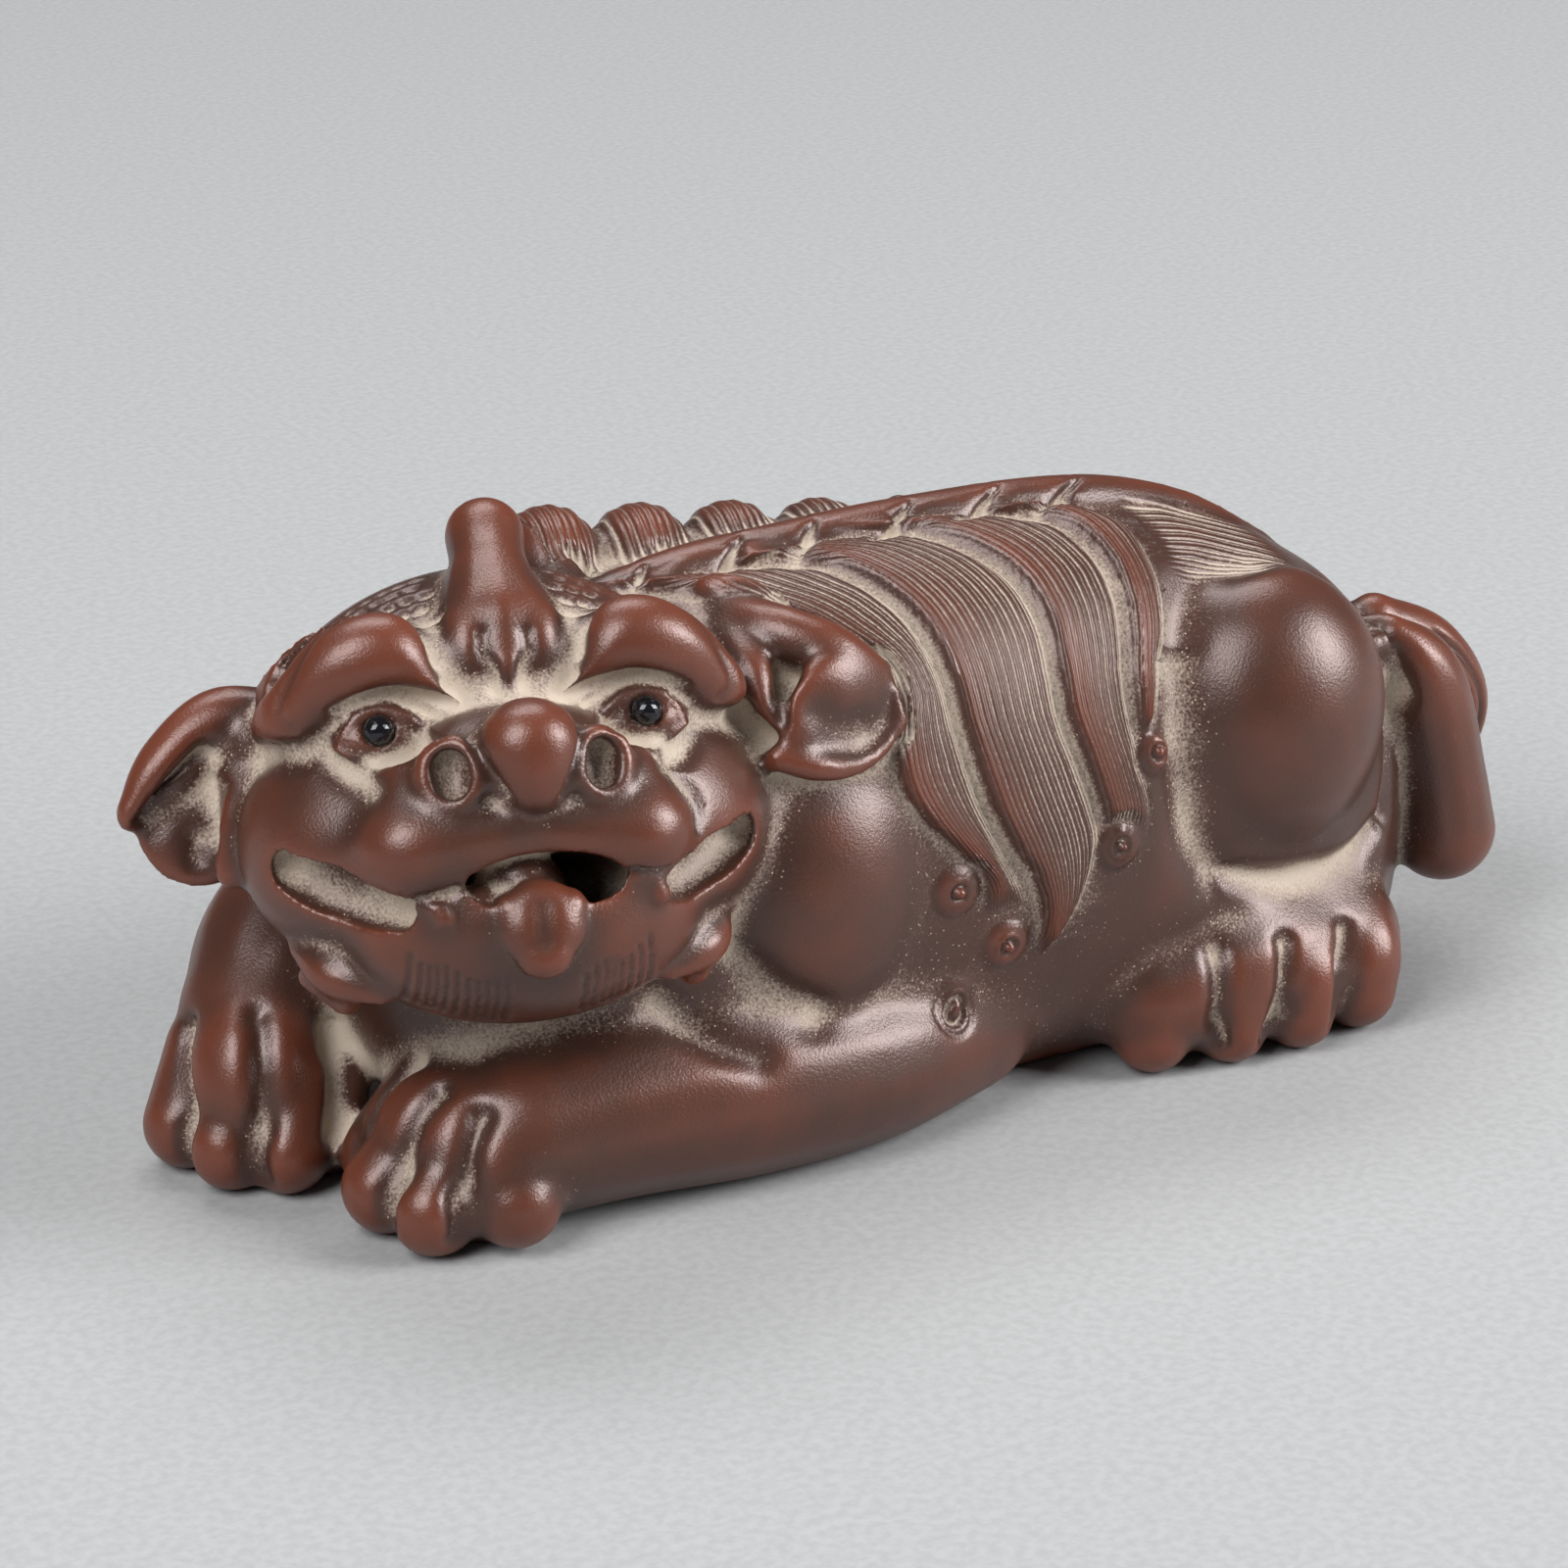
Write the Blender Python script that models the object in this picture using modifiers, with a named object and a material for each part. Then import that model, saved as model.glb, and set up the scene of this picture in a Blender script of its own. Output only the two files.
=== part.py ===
"""Recumbent guardian lion: a hollow, unglazed stoneware tea pet with two inlaid eye beads.

The figure is modelled the way it is made by hand. Lumps and rolls of clay are pressed together and
smoothed, finer forms are added in two more rounds, the mouth is cut, lines are scored in with a
tool, and the inside is scooped out. The lion lies along X with its chest towards -X, turns its face
to -Y, and stands on Z = 0. Sizes are in millimetres until the last step. On the head, X is to the
side, -Y is forward out of the face and Z is up, from the middle of the skull.
"""

import math

import bmesh
import bpy
import numpy as np
from mathutils import Matrix, Vector
from mathutils.bvhtree import BVHTree

MM = 0.001

# Body
BODY_HALF_WIDTH = 24.0
BACK_HEIGHT = 56.5
SECTION_POWER = 2.4
MIDDLE_SHARE = 0.47
WALL = 5.0
FLOOR_WALL = 4.0

# Head
HEAD_AT = Vector((-38.8, -7.6, 39.0))
HEAD_TURN = 18.2
HEAD_LIFT = 26.6
SKULL_HALF_WIDTH = 23.0
HEAD_HOLLOW = (14.0, 11.0, 12.0)
EYE_SIDE = 12.6
EYE_FORWARD = 17.4
EYE_UP = 6.2
BEAD_RADIUS = 1.45
BEAD_GAP = 0.3
HORN_RISE = 25.3
HORN_TIP_RADIUS = 3.9
NOSE_FORWARD = 28.6
NOSE_RADIUS = 4.6
LID_RADIUS = 0.85
TONGUE_WIDTH = 8.4
MOUTH_HALF_WIDTH = 7.9
MOUTH_HALF_HEIGHT = 2.6
POCKET_RADIUS = 2.5
BROW_HEIGHT = 1.9
BROW_EDGE = 3.2

# Legs
FOREARM_RADIUS = 9.5
TOE_RADIUS = 4.6
HIND_TOE_RADIUS = 4.3
TOE_GROOVE_DEPTH = 1.4
HAUNCH_RADII = (14.0, 12.4, 16.0)

# Mane and spine
LOCK_HEIGHT = 1.7
LOCK_EDGE = 1.0
VALLEY_HALF_WIDTH = 0.35
FAR_LOCK_RADIUS = 5.2
CURL_RADIUS = 2.0
RIDGE_RADIUS = 3.1

# Clay working
SOFT_VOXEL = 1.1
FORM_VOXEL = 0.7
FINE_VOXEL = 0.5
HOLLOW_VOXEL = 1.5
FACE_BUDGET = 9600
HOLLOW_BUDGET = 700

CLAY_COLOUR = (0.105, 0.034, 0.024, 1)
BEAD_COLOUR = (0.006, 0.006, 0.008, 1)


def smooth_line(points, per_span=6):
    """Catmull-Rom samples through points, each of any number of coordinates."""
    pts = np.array(points, float)
    pts = np.vstack([2 * pts[0] - pts[1], pts, 2 * pts[-1] - pts[-2]])
    out = []
    for i in range(1, len(pts) - 2):
        p0, p1, p2, p3 = pts[i - 1 : i + 3]
        for t in np.linspace(0, 1, per_span, endpoint=False):
            bend = (2 * p0 - 5 * p1 + 4 * p2 - p3) * t**2
            out.append(0.5 * (2 * p1 + (p2 - p0) * t + bend + (3 * p1 - p0 - 3 * p2 + p3) * t**3))
    out.append(pts[-2])
    return np.array(out)


def evaluated_mesh(obj):
    """A copy of the object's mesh with its modifiers applied."""
    bpy.context.view_layer.update()
    graph = bpy.context.evaluated_depsgraph_get()
    return bpy.data.meshes.new_from_object(obj.evaluated_get(graph))


def link(name, mesh):
    """A new object in the scene."""
    obj = bpy.data.objects.new(name, mesh)
    bpy.context.scene.collection.objects.link(obj)
    return obj


def worked(mesh, *steps):
    """The mesh after a list of modifiers, each (type, settings)."""
    carrier = link("work", mesh)
    for kind, settings in steps:
        modifier = carrier.modifiers.new(kind, kind)
        for name, value in settings.items():
            setattr(modifier, name, value)
    result = evaluated_mesh(carrier)
    bpy.data.objects.remove(carrier)
    return result


def mesh_of(bm, name):
    """The bmesh as a mesh, and the bmesh freed."""
    mesh = bpy.data.meshes.new(name)
    bm.to_mesh(mesh)
    bm.free()
    return mesh


class Clay:
    """One batch of overlapping lumps and rolls, waiting to be pressed together."""

    def __init__(self, frame=None):
        self.frame = frame or Matrix.Identity(4)
        self.eggs = bmesh.new()
        self.curve = bpy.data.curves.new("rolls", "CURVE")
        self.curve.dimensions = "3D"
        self.curve.bevel_depth = 1.0
        self.curve.bevel_resolution = 4
        self.curve.use_fill_caps = True

    def lump(self, centre, radii, turn=(0, 0, 0), both=False):
        """An egg with half sizes radii, turned by degrees about X, Y and Z; both adds its mirror image."""
        place = Matrix.Translation(Vector(centre))
        for angle, axis in zip(turn, "XYZ"):
            place = place @ Matrix.Rotation(math.radians(angle), 4, axis)
        place = place @ Matrix.Diagonal((*radii, 1))
        flip = Matrix.Diagonal((-1, 1, 1, 1))
        for matrix in (place, flip @ place @ flip) if both else (place,):
            bmesh.ops.create_icosphere(self.eggs, subdivisions=4, radius=1, matrix=self.frame @ matrix)

    def roll(self, points, radii, both=False):
        """A tapered roll of clay with round ends along a smooth line through points."""
        if np.isscalar(radii):
            radii = [radii] * len(points)
        line = smooth_line([(*p, r) for p, r in zip(points, radii)])
        for side in (1, -1) if both else (1,):
            self._tube([self.frame @ Vector((side * x, y, z)) for x, y, z, _ in line], line[:, 3])

    def _tube(self, path, radii):
        spline = self.curve.splines.new("POLY")
        spline.points.add(len(path) - 1)
        for point, place, radius in zip(spline.points, path, radii):
            point.co = (*place, 1)
            point.radius = radius
        for place, radius in ((path[0], radii[0]), (path[-1], radii[-1])):
            ball = Matrix.Translation(place) @ Matrix.Diagonal((radius, radius, radius, 1))
            bmesh.ops.create_icosphere(self.eggs, subdivisions=3, radius=1, matrix=ball)

    def mesh(self):
        """All lumps and rolls as one mesh of overlapping shells."""
        if self.curve.splines:
            carrier = link("rolls", self.curve)
            self.eggs.from_mesh(evaluated_mesh(carrier))
            bpy.data.objects.remove(carrier)
            bmesh.ops.remove_doubles(self.eggs, verts=self.eggs.verts, dist=1e-4)
        return mesh_of(self.eggs, "clay")


def pressed_together(meshes, voxel, passes):
    """Overlapping meshes fused into one skin, its creases softened by smoothing passes."""
    heap = bmesh.new()
    for mesh in meshes:
        heap.from_mesh(mesh)
    return worked(
        mesh_of(heap, "heap"),
        ("REMESH", {"mode": "VOXEL", "voxel_size": voxel}),
        ("SMOOTH", {"factor": 0.5, "iterations": passes}),
    )


def cut(mesh, cutter):
    """The mesh less the cutter mesh."""
    tool = link("tool", cutter)
    result = worked(mesh, ("BOOLEAN", {"operation": "DIFFERENCE", "object": tool}))
    bpy.data.objects.remove(tool)
    return result


class Scoring:
    """Marks made once the clay is one skin: lines pressed in or raised, and broad pads."""

    def __init__(self):
        self.lines = []
        self.pads = []

    def line(self, points, width, depth, frame=None, both=False):
        """A groove through points, of the half width and depth given; a negative depth is a ridge."""
        frame = frame or Matrix.Identity(4)
        for side in (1, -1) if both else (1,):
            path = [frame @ Vector((side * x, y, z)) for x, y, z in smooth_line(points, 12)]
            self.lines.append((path, width, depth))

    def ring(self, centre, across, along, width, depth, frame=None):
        """A closed groove round centre, an ellipse with the half axes across and along."""
        turns = np.linspace(0, 2 * math.pi, 25)
        across, along = Vector(across), Vector(along)
        points = [Vector(centre) + across * math.cos(t) + along * math.sin(t) for t in turns]
        self.line(points, width, depth, frame)

    def pad(self, outline, height, edge, frame, both=False):
        """A raised area, or a sunk one, with the closed outline (side, up) laid on from the front."""
        closed = smooth_line([*outline, outline[0]], 4)[:-1]
        for side in (1, -1) if both else (1,):
            self.pads.append(([Vector((side * x, 0, z)) for x, z in closed], height, edge, frame))

    def press_into(self, mesh):
        """Moves the skin along its normals, each line snapped to the nearest clay."""
        places, normals = places_of(mesh), normals_of(mesh)
        skin = BVHTree.FromPolygons(places.tolist(), [p.vertices[:] for p in mesh.polygons])
        lift = np.zeros(len(places))
        for pad in self.pads:
            lift += self._pad_lift(places, normals, skin, *pad)
        sunk, raised = np.zeros(len(places)), np.zeros(len(places))
        for path, width, depth in self.lines:
            line = np.array([skin.find_nearest(point)[0] for point in path])
            reach = 3 * width
            inside = ((places > line.min(0) - reach) & (places < line.max(0) + reach)).all(1)
            near = np.flatnonzero(inside)
            if not len(near):
                continue
            gaps = distances_to(places[near], line)
            press = depth * np.exp(-((gaps / width) ** 2))
            sunk[near] = np.maximum(sunk[near], press)
            raised[near] = np.maximum(raised[near], -press)
        return moved(mesh, places + normals * (lift + raised - sunk)[:, None])

    def _pad_lift(self, places, normals, skin, path, height, edge, frame):
        """Height that one pad gives each place, rounded over towards the pad's outline."""
        forward = (frame.to_3x3() @ Vector((0, -1, 0))).normalized()
        hits = [skin.ray_cast(frame @ point + 60 * forward, -forward, 120)[0] for point in path]
        line = np.array([hit for hit in hits if hit is not None])
        line = np.vstack([line, line[:1]])
        to_head = np.array(frame.inverted())
        flat, local = (points @ to_head[:3, :3].T + to_head[:3, 3] for points in (line, places))
        boxed = ((places > line.min(0) - edge) & (places < line.max(0) + edge)).all(1)
        near = np.flatnonzero(boxed & (normals @ np.array(forward) > 0))
        near = near[inside(local[near][:, [0, 2]], flat[:-1, [0, 2]])]
        lift = np.zeros(len(places))
        share = np.clip(distances_to(places[near], line) / edge, 0, 1)
        lift[near] = height * np.sqrt(1 - (1 - share) ** 2)
        return lift


def places_of(mesh):
    """The mesh's vertices, one a row."""
    flat = np.empty(3 * len(mesh.vertices))
    mesh.vertices.foreach_get("co", flat)
    return flat.reshape(-1, 3)


def normals_of(mesh):
    """The mesh's vertex normals, one a row."""
    flat = np.empty(3 * len(mesh.vertices), np.float32)
    mesh.vertex_normals.foreach_get("vector", flat)
    return flat.reshape(-1, 3)


def moved(mesh, places):
    """The same mesh with its vertices at places."""
    mesh.vertices.foreach_set("co", places.ravel())
    mesh.update()
    return mesh


def inside(places, outline):
    """Which places lie inside a closed outline, both in two coordinates."""
    within = np.zeros(len(places), bool)
    for (ax, ay), (bx, by) in zip(outline, np.roll(outline, -1, axis=0)):
        if ay != by:
            crosses = (ay > places[:, 1]) != (by > places[:, 1])
            within ^= crosses & (places[:, 0] < ax + (places[:, 1] - ay) / (by - ay) * (bx - ax))
    return within


def eased(values, low, high):
    """A smooth step from 0 at low to 1 at high; low may be the larger."""
    share = np.clip((values - low) / (high - low), 0, 1)
    return share * share * (3 - 2 * share)


def distances_to(places, line):
    """Distance from each place to a line of points, its stretches taken as straight."""
    best = np.full(len(places), np.inf)
    for a, b in zip(line, line[1:]):
        run = b - a
        share = np.clip((places - a) @ run / max(run @ run, 1e-9), 0, 1)
        best = np.minimum(best, np.linalg.norm(places - a - share[:, None] * run, axis=1))
    return best


# The torso is a loft of superellipse sections: place, share of the half width, share of the height.
STATIONS = (
    (-46.0, 0.30, 0.62),
    (-42.0, 0.62, 0.78),
    (-34.0, 0.84, 0.92),
    (-22.0, 0.96, 0.985),
    (-8.0, 1.0, 1.0),
    (10.0, 1.0, 1.01),
    (26.0, 0.99, 1.0),
    (40.0, 0.97, 0.965),
    (52.0, 0.90, 0.885),
    (61.0, 0.74, 0.78),
    (67.0, 0.50, 0.66),
    (70.0, 0.22, 0.52),
)


def torso_section(x):
    """Half width, height of the middle and rise above it, at x."""
    xs, widths, tops = (np.array(column) for column in zip(*STATIONS))
    top = np.interp(x, xs, tops) * BACK_HEIGHT
    return np.interp(x, xs, widths) * BODY_HALF_WIDTH, MIDDLE_SHARE * top, (1 - MIDDLE_SHARE) * top


def back_point(x, degrees, side=-1, lift=0.0):
    """A point on the torso at x, at an angle above the flank's widest line, raised by lift."""
    half_width, middle, rise = torso_section(x)
    c, s = math.cos(math.radians(degrees)), math.sin(math.radians(degrees))
    power = 2 / SECTION_POWER
    y = (half_width + lift) * math.copysign(abs(c) ** power, c)
    z = (rise + lift) * math.copysign(abs(s) ** power, s)
    return Vector((x, side * y, middle + z))


def back_angles(places):
    """Each place's angle above the flank's widest line, and its share of the torso's radius."""
    half_width, middle, rise = torso_section(places[:, 0])
    across = (np.abs(places[:, 1]) / half_width) ** (SECTION_POWER / 2)
    up = (places[:, 2] - middle) / rise
    up = np.sign(up) * np.abs(up) ** (SECTION_POWER / 2)
    return np.degrees(np.arctan2(up, across)), (across**2 + up**2) ** (1 / SECTION_POWER)


def torso_mesh(inset=0.0, sides=48, rings=60):
    """The closed loft of the torso, or of the hollow that lies a wall inside it."""
    bm = bmesh.new()
    loops = []
    first, last = STATIONS[0][0] + inset, STATIONS[-1][0] - inset
    for x in np.linspace(first, last, rings):
        points = [back_point(x, 360 * k / sides, lift=-inset) for k in range(sides)]
        loops.append([bm.verts.new(point) for point in points])
    for a, b in zip(loops, loops[1:]):
        for k in range(sides):
            bm.faces.new((a[k], a[(k + 1) % sides], b[(k + 1) % sides], b[k]))
    bm.faces.new(loops[0][::-1])
    bm.faces.new(loops[-1])
    bmesh.ops.recalc_face_normals(bm, faces=bm.faces)
    return mesh_of(bm, "torso")


def head_frame():
    """Matrix from head coordinates, face towards -Y, to the figure's."""
    turn = Matrix.Rotation(math.radians(-HEAD_TURN), 4, "Z")
    lift = Matrix.Rotation(math.radians(-HEAD_LIFT), 4, "X")
    return Matrix.Translation(HEAD_AT) @ turn @ lift


def body_masses():
    """Haunches, shoulders, limbs and neck: the soft forms."""
    clay = Clay()
    for side in (-1, 1):
        clay.lump((45, side * 15, 34.6), HAUNCH_RADII, (side * -5, 4, 0))
        clay.lump((-10, side * 16.4, 27), (13.5, 10.2, 16.6), (0, 12, 0))
        clay.roll([(30.5, side * 18.4, 7.5), (41, side * 18.6, 8.5), (54, side * 17, 8.0)], [7.0, 8.6, 8.0])
        clay.lump((43, side * 13, 12.5), (19, 10, 6.4))
    clay.roll([(9, -14.6, 8.5), (-4, -18.2, 8.8), (-18, -19.2, 9.4), (-32, -18.6, 9.8), (-42, -18.5, 9.2)],
              [8.6, FOREARM_RADIUS, FOREARM_RADIUS + 0.3, FOREARM_RADIUS, 8.8])
    clay.lump((-47, -16, 7.5), (8.5, 11.5, 9.0), (0, 0, 20))
    clay.roll([(-14, 16, 22), (-36, 17, 20), (-49, 14.5, 18), (-56, 10, 13)], [12, 12, 11, 9])
    clay.lump((-59, 5, 8.5), (8.0, 8.5, 10.5), (0, 0, -35))
    clay.lump((-38, 0, 22), (14, 17, 20))
    clay.roll([(-18, 2, 36), (-34, -4, 38)], [20, 18])
    return clay.mesh()


def head_masses():
    """Skull, jowls, jaw, brow ridge and muzzle: the soft forms."""
    clay = Clay(head_frame())
    clay.lump((0, 0, 4), (SKULL_HALF_WIDTH, 18, 19))
    clay.lump((9.8, -4, -3), (15.7, 15, 13), both=True)
    clay.lump((0, -10, -11), (17.5, 11.8, 10.8))
    clay.lump((0, -14.0, -2.0), (14, 8, 8.5))
    clay.lump((9.5, -8.5, 3), (12.5, 8.4, 10), both=True)
    clay.roll([(6, -13.4, 11.4), (12.5, -13.6, 12.4), (18.6, -9.8, 9.6)], [3.4, 4.0, 3.4], both=True)
    clay.roll([(14.4, -16.0, -5.2), (11.0, -18.9, -5.0), (6.4, -20.2, -4.6), (0, -21.0, -4.0)],
              [3.2, 5.0, 4.0, 3.2], both=True)
    clay.lump((8.2, -16.6, -0.8), (6.8, 5.8, 5.6), both=True)
    clay.lump((0, -16.0, 2.2), (8.5, 6.4, 6.0))
    return clay.mesh()


def face_forms():
    """Muzzle, nose, wings of the nostrils, horn and jaw curls."""
    clay = Clay(head_frame())
    clay.lump((0, -16.6, 1.6), (10.9, 7.2, 6.5))
    middle = NOSE_RADIUS - NOSE_FORWARD
    clay.lump((0.4, middle, 3.0), (NOSE_RADIUS + 0.3, NOSE_RADIUS, NOSE_RADIUS - 0.1))
    clay.roll([(0.5, middle, 0.8), (0.6, middle, -1.6)], [NOSE_RADIUS - 0.6, NOSE_RADIUS - 1.6])
    clay.roll([(4.7, -22.0, 4.3), (6.7, -22.4, 4.3), (8.5, -21.9, 3.1), (9.3, -21.5, 1.0), (8.9, -21.4, -0.8),
               (7.4, -21.9, -2.2), (5.2, -22.6, -3.0)], [1.2, 1.6, 1.7, 1.7, 1.6, 1.5, 1.2], both=True)
    clay.roll([(0, -11.6, 13.0), (0, -11.2, 16.4), (0, -9.9, 20), (0.2, -7.8, 23), (0.4, -5.8, HORN_RISE)],
              [6.3, 6.0, 4.8, 4.1, HORN_TIP_RADIUS])
    clay.lump((3.6, -13.8, 12.4), (2.9, 4.2, 4.6), both=True)
    clay.lump((-0.2, -14.2, 11.8), (2.5, 4.0, 4.2))
    clay.roll([(20.4, -5, -12.6), (17.6, -8.6, -15.6), (13.6, -11.0, -18.0)], [1.2, 2.3, 1.1], both=True)
    clay.roll([(19.6, -4, -15.4), (16.6, -6.6, -18.0)], [1.3, 1.6], both=True)
    return clay.mesh()


# Outlines on the face as (side, up).
BROW = ((21.7, 6.4), (22.4, 8.6), (20.6, 9.9), (19.0, 11.4), (17.6, 13.4), (15.8, 15.2), (13.6, 16.3),
        (11.2, 16.6), (9.2, 15.9), (8.3, 14.0), (8.0, 12.0), (6.6, 10.2), (4.4, 8.2), (7.2, 8.9),
        (9.6, 9.8), (11.8, 10.1), (13.9, 9.5), (15.6, 8.3), (17.6, 6.8), (19.6, 5.8))
UPPER_LID = ((16.9, 4.9), (15.8, 6.7), (14.4, 7.7), (12.4, 8.1), (10.5, 7.6), (8.9, 6.4), (7.4, 5.0))
LOWER_LID = ((16.9, 4.9), (15.4, 3.8), (13.8, 3.1), (12.0, 2.9), (10.4, 3.2), (8.9, 3.9), (7.4, 5.0))
# Middle and half sizes of the left eyeball; the bead is set in its front.
EYEBALL = ((EYE_SIDE - 0.5, 3.6 - EYE_FORWARD, EYE_UP - 0.8), (5.4, 3.8, 3.3))


def face_pads():
    """Brows, raised off the forehead, and the almonds of the eyes, sunk in."""
    tool = Scoring()
    tool.pad(BROW, BROW_HEIGHT, BROW_EDGE, head_frame(), both=True)
    tool.pad([*UPPER_LID, *LOWER_LID[-2:0:-1]], -1.3, 2.0, head_frame(), both=True)
    return tool


def ear_forms():
    """The right ear, which droops beside the cheek, and the left ear, swept back on the mane."""
    clay = Clay(head_frame())
    clay.roll([(-21, 2, 10), (-26.0, 2, 9.8), (-31.2, 1.8, 5.8), (-34.4, 2, 1.6)], [3.0, 3.4, 3.0, 1.9])
    clay.lump((-27.5, 3.8, 1.6), (6.8, 2.1, 7.6), (0, 32, 0))
    clay.roll([(-25.0, 0.6, 5.0), (-24.6, -0.6, 0.5), (-25.6, -0.4, -4.6)], [1.4, 2.5, 1.9])
    clay.roll([(-22.6, 0, 8), (-23.4, -0.8, 5), (-23.8, 0, 2.6)], [2.4, 1.9, 0.9])
    right = clay.mesh()
    clay = Clay()
    clay.roll([(-14, -8, 53.5), (-12, -14.5, 53.8), (-7.8, -18.6, 52.2), (-3.4, -19.4, 49.6)],
              [2.8, 2.9, 2.8, 1.7])
    clay.roll([(-15.0, -11, 53), (-15.6, -16.4, 51.6), (-16.0, -19.4, 49.0), (-15.6, -20.8, 47.4)],
              [2.4, 2.1, 1.5, 0.9])
    clay.lump((-8.8, -19.4, 47.8), (7.4, 2.8, 6.4), (0, -20, 20))
    clay.roll([(-16.4, -21.0, 44.6), (-13.8, -22.4, 43.9), (-10.6, -23.0, 44.4), (-9.0, -22.6, 46.4)],
              [1.9, 2.2, 2.2, 1.3])
    return right, clay.mesh()


def paw_forms():
    """Toes of the two fore paws and the two hind paws."""
    clay = Clay()
    near_toes = (
        ((-48, -7, 8.5), (-51.4, -7.2, 4.4)),
        ((-50, -13, 9.5), (-54.6, -14.2, 4.5)),
        ((-48, -18.6, 9.5), (-52.8, -20.8, 4.5)),
        ((-41, -21, 9), (-45.8, -24.0, 5.0)),
    )
    far_toes = (
        ((-62, 11, 11), (-65.4, 8.6, 4.4)),
        ((-61, 4.6, 11), (-63.6, 2.0, 4.4)),
        ((-57, 1.4, 10.5), (-59.4, -1.4, 4.4)),
        ((-52.6, 3, 9), (-54.4, 0.8, 4.4)),
    )
    for toe in near_toes + far_toes:
        clay.roll(toe, [4.2, TOE_RADIUS])
    for side in (-1, 1):
        for x, y in zip((29.4, 37.8, 46.0, 54.2), (20.8, 22.8, 23.4, 22.2)):
            clay.roll([(x + 1.4, side * (y - 3.4), 10.5), (x + 0.6, side * (y - 0.6), 8), (x, side * y, 4.2)],
                      [4.4, 4.6, HIND_TOE_RADIUS])
    return clay.mesh()


# Partings of the mane on the left flank: (place along X, angle above the flank's widest line).
PARTINGS = (
    ((-27, 86), (-18.5, 80), (-15, 72), (-10.5, 64), (-6.5, 54), (-3, 46), (-2, 37), (-3, 28), (-3, 19),
     (-0.5, 11), (3.5, 4), (6, 0), (6.5, -4)),
    ((-12, 85), (-3, 78), (0.5, 69), (3, 57), (4, 47), (4.5, 38), (4.7, 29), (5.5, 20), (7, 11), (9.5, 3),
     (12, -2), (13, -8), (13, -16)),
    ((0, 87), (8.5, 83), (13, 74), (16, 62), (17, 49), (16.7, 36), (16.7, 26), (18, 17), (19.5, 9), (20.5, 3),
     (20, -1), (18, -8), (14.5, -16)),
    ((10, 88), (18.5, 85), (25, 77), (27, 64), (27, 52), (26, 41), (25, 31), (25, 22), (26, 13), (27, 4),
     (26, -4)),
    ((20, 88), (28, 85), (33.5, 77), (33.5, 62), (32.5, 47), (30.5, 34), (29, 25), (27.5, 17), (27.5, 8)),
)
# Angle at which each lock ends.
LOWEST = (-5, -16, 0, 10)
CURLS = ((3.4, 0), (9.5, -10), (3.7, -19), (22.6, 1), (27.4, 15))
# The cuts between the flames of the spine: place of each one's top, and of its foot.
FLAMES = ((-18.2, -22.4), (-7.2, -12.0), (1.0, -2.9), (12.3, 6.6), (22.8, 16.4), (32.4, 25.8))


def mane_forms():
    """The far locks, the curls, the ridge of the spine and the hair on the rump."""
    clay = Clay()
    for k in range(5):
        x, z = -24 + 10.4 * k, 55.8 - 1.5 * k
        points = [(x - 1, 5, z - 1.5), (x + 1, 11, z), (x + 3, 18.5, z - 7), (x + 6, 21.5, 37), (x + 9, 21.5, 26)]
        clay.roll(points, [3.2, FAR_LOCK_RADIUS, FAR_LOCK_RADIUS, 4.6, 3.6])
    for x, angle in CURLS:
        for side in (-1, 1):
            clay.lump(back_point(x, angle, side, 0.5), (CURL_RADIUS, 1.5, CURL_RADIUS))
    ridge = [back_point(x, 90, 1, -0.8) for x in range(-24, 57, 10)]
    clay.roll(ridge, [2.4] + [RIDGE_RADIUS] * (len(ridge) - 3) + [2.4, 1.2])
    return clay.mesh()


def slant(angle, line, arc):
    """How much longer a step along X is than one square to the parting, at each angle."""
    slope = np.interp(angle, line[:, 1], np.gradient(line[:, 0], line[:, 1]) / arc)
    return np.sqrt(1 + slope**2)


def locks_raised(mesh):
    """The skin with the near flank's locks raised, each with a steep fore edge and a gentle aft one."""
    places, normals = places_of(mesh), normals_of(mesh)
    angle, radius = back_angles(places)
    x = places[:, 0]
    lines = [smooth_line(parting)[::-1] for parting in PARTINGS]
    on_flank = (places[:, 1] < 0) & (radius > 0.86) & (radius < 1.25)
    arc = math.radians(1) * BODY_HALF_WIDTH
    lift = np.zeros(len(places))
    for fore, aft, lowest in zip(lines, lines[1:], LOWEST):
        a, b = (np.interp(angle, line[:, 1], line[:, 0]) for line in (fore, aft))
        past_fore, past_aft = ((x - place) / slant(angle, line, arc) for place, line in ((a, fore), (b, aft)))
        rise = eased(past_fore, VALLEY_HALF_WIDTH, VALLEY_HALF_WIDTH + LOCK_EDGE)
        fall = eased(-past_aft, VALLEY_HALF_WIDTH, VALLEY_HALF_WIDTH + 1.5 * LOCK_EDGE)
        share = np.clip((x - a) / (b - a), 0, 1)
        ends = eased(angle, lowest, lowest + 7) * eased(angle, 89, 85)
        lock = LOCK_HEIGHT * rise * fall * ends * (1 - 0.55 * eased(share, 0.25, 1.0))
        lift = np.maximum(lift, np.where(on_flank & (x > a) & (x < b), lock, 0))
    for x0, degrees in CURLS:
        away = np.linalg.norm(places - np.array(back_point(x0, degrees, -1, 0.5)), axis=1)
        lift *= eased(away, CURL_RADIUS + 0.2, CURL_RADIUS + 1.4)
    return moved(mesh, places + normals * lift[:, None])


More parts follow.
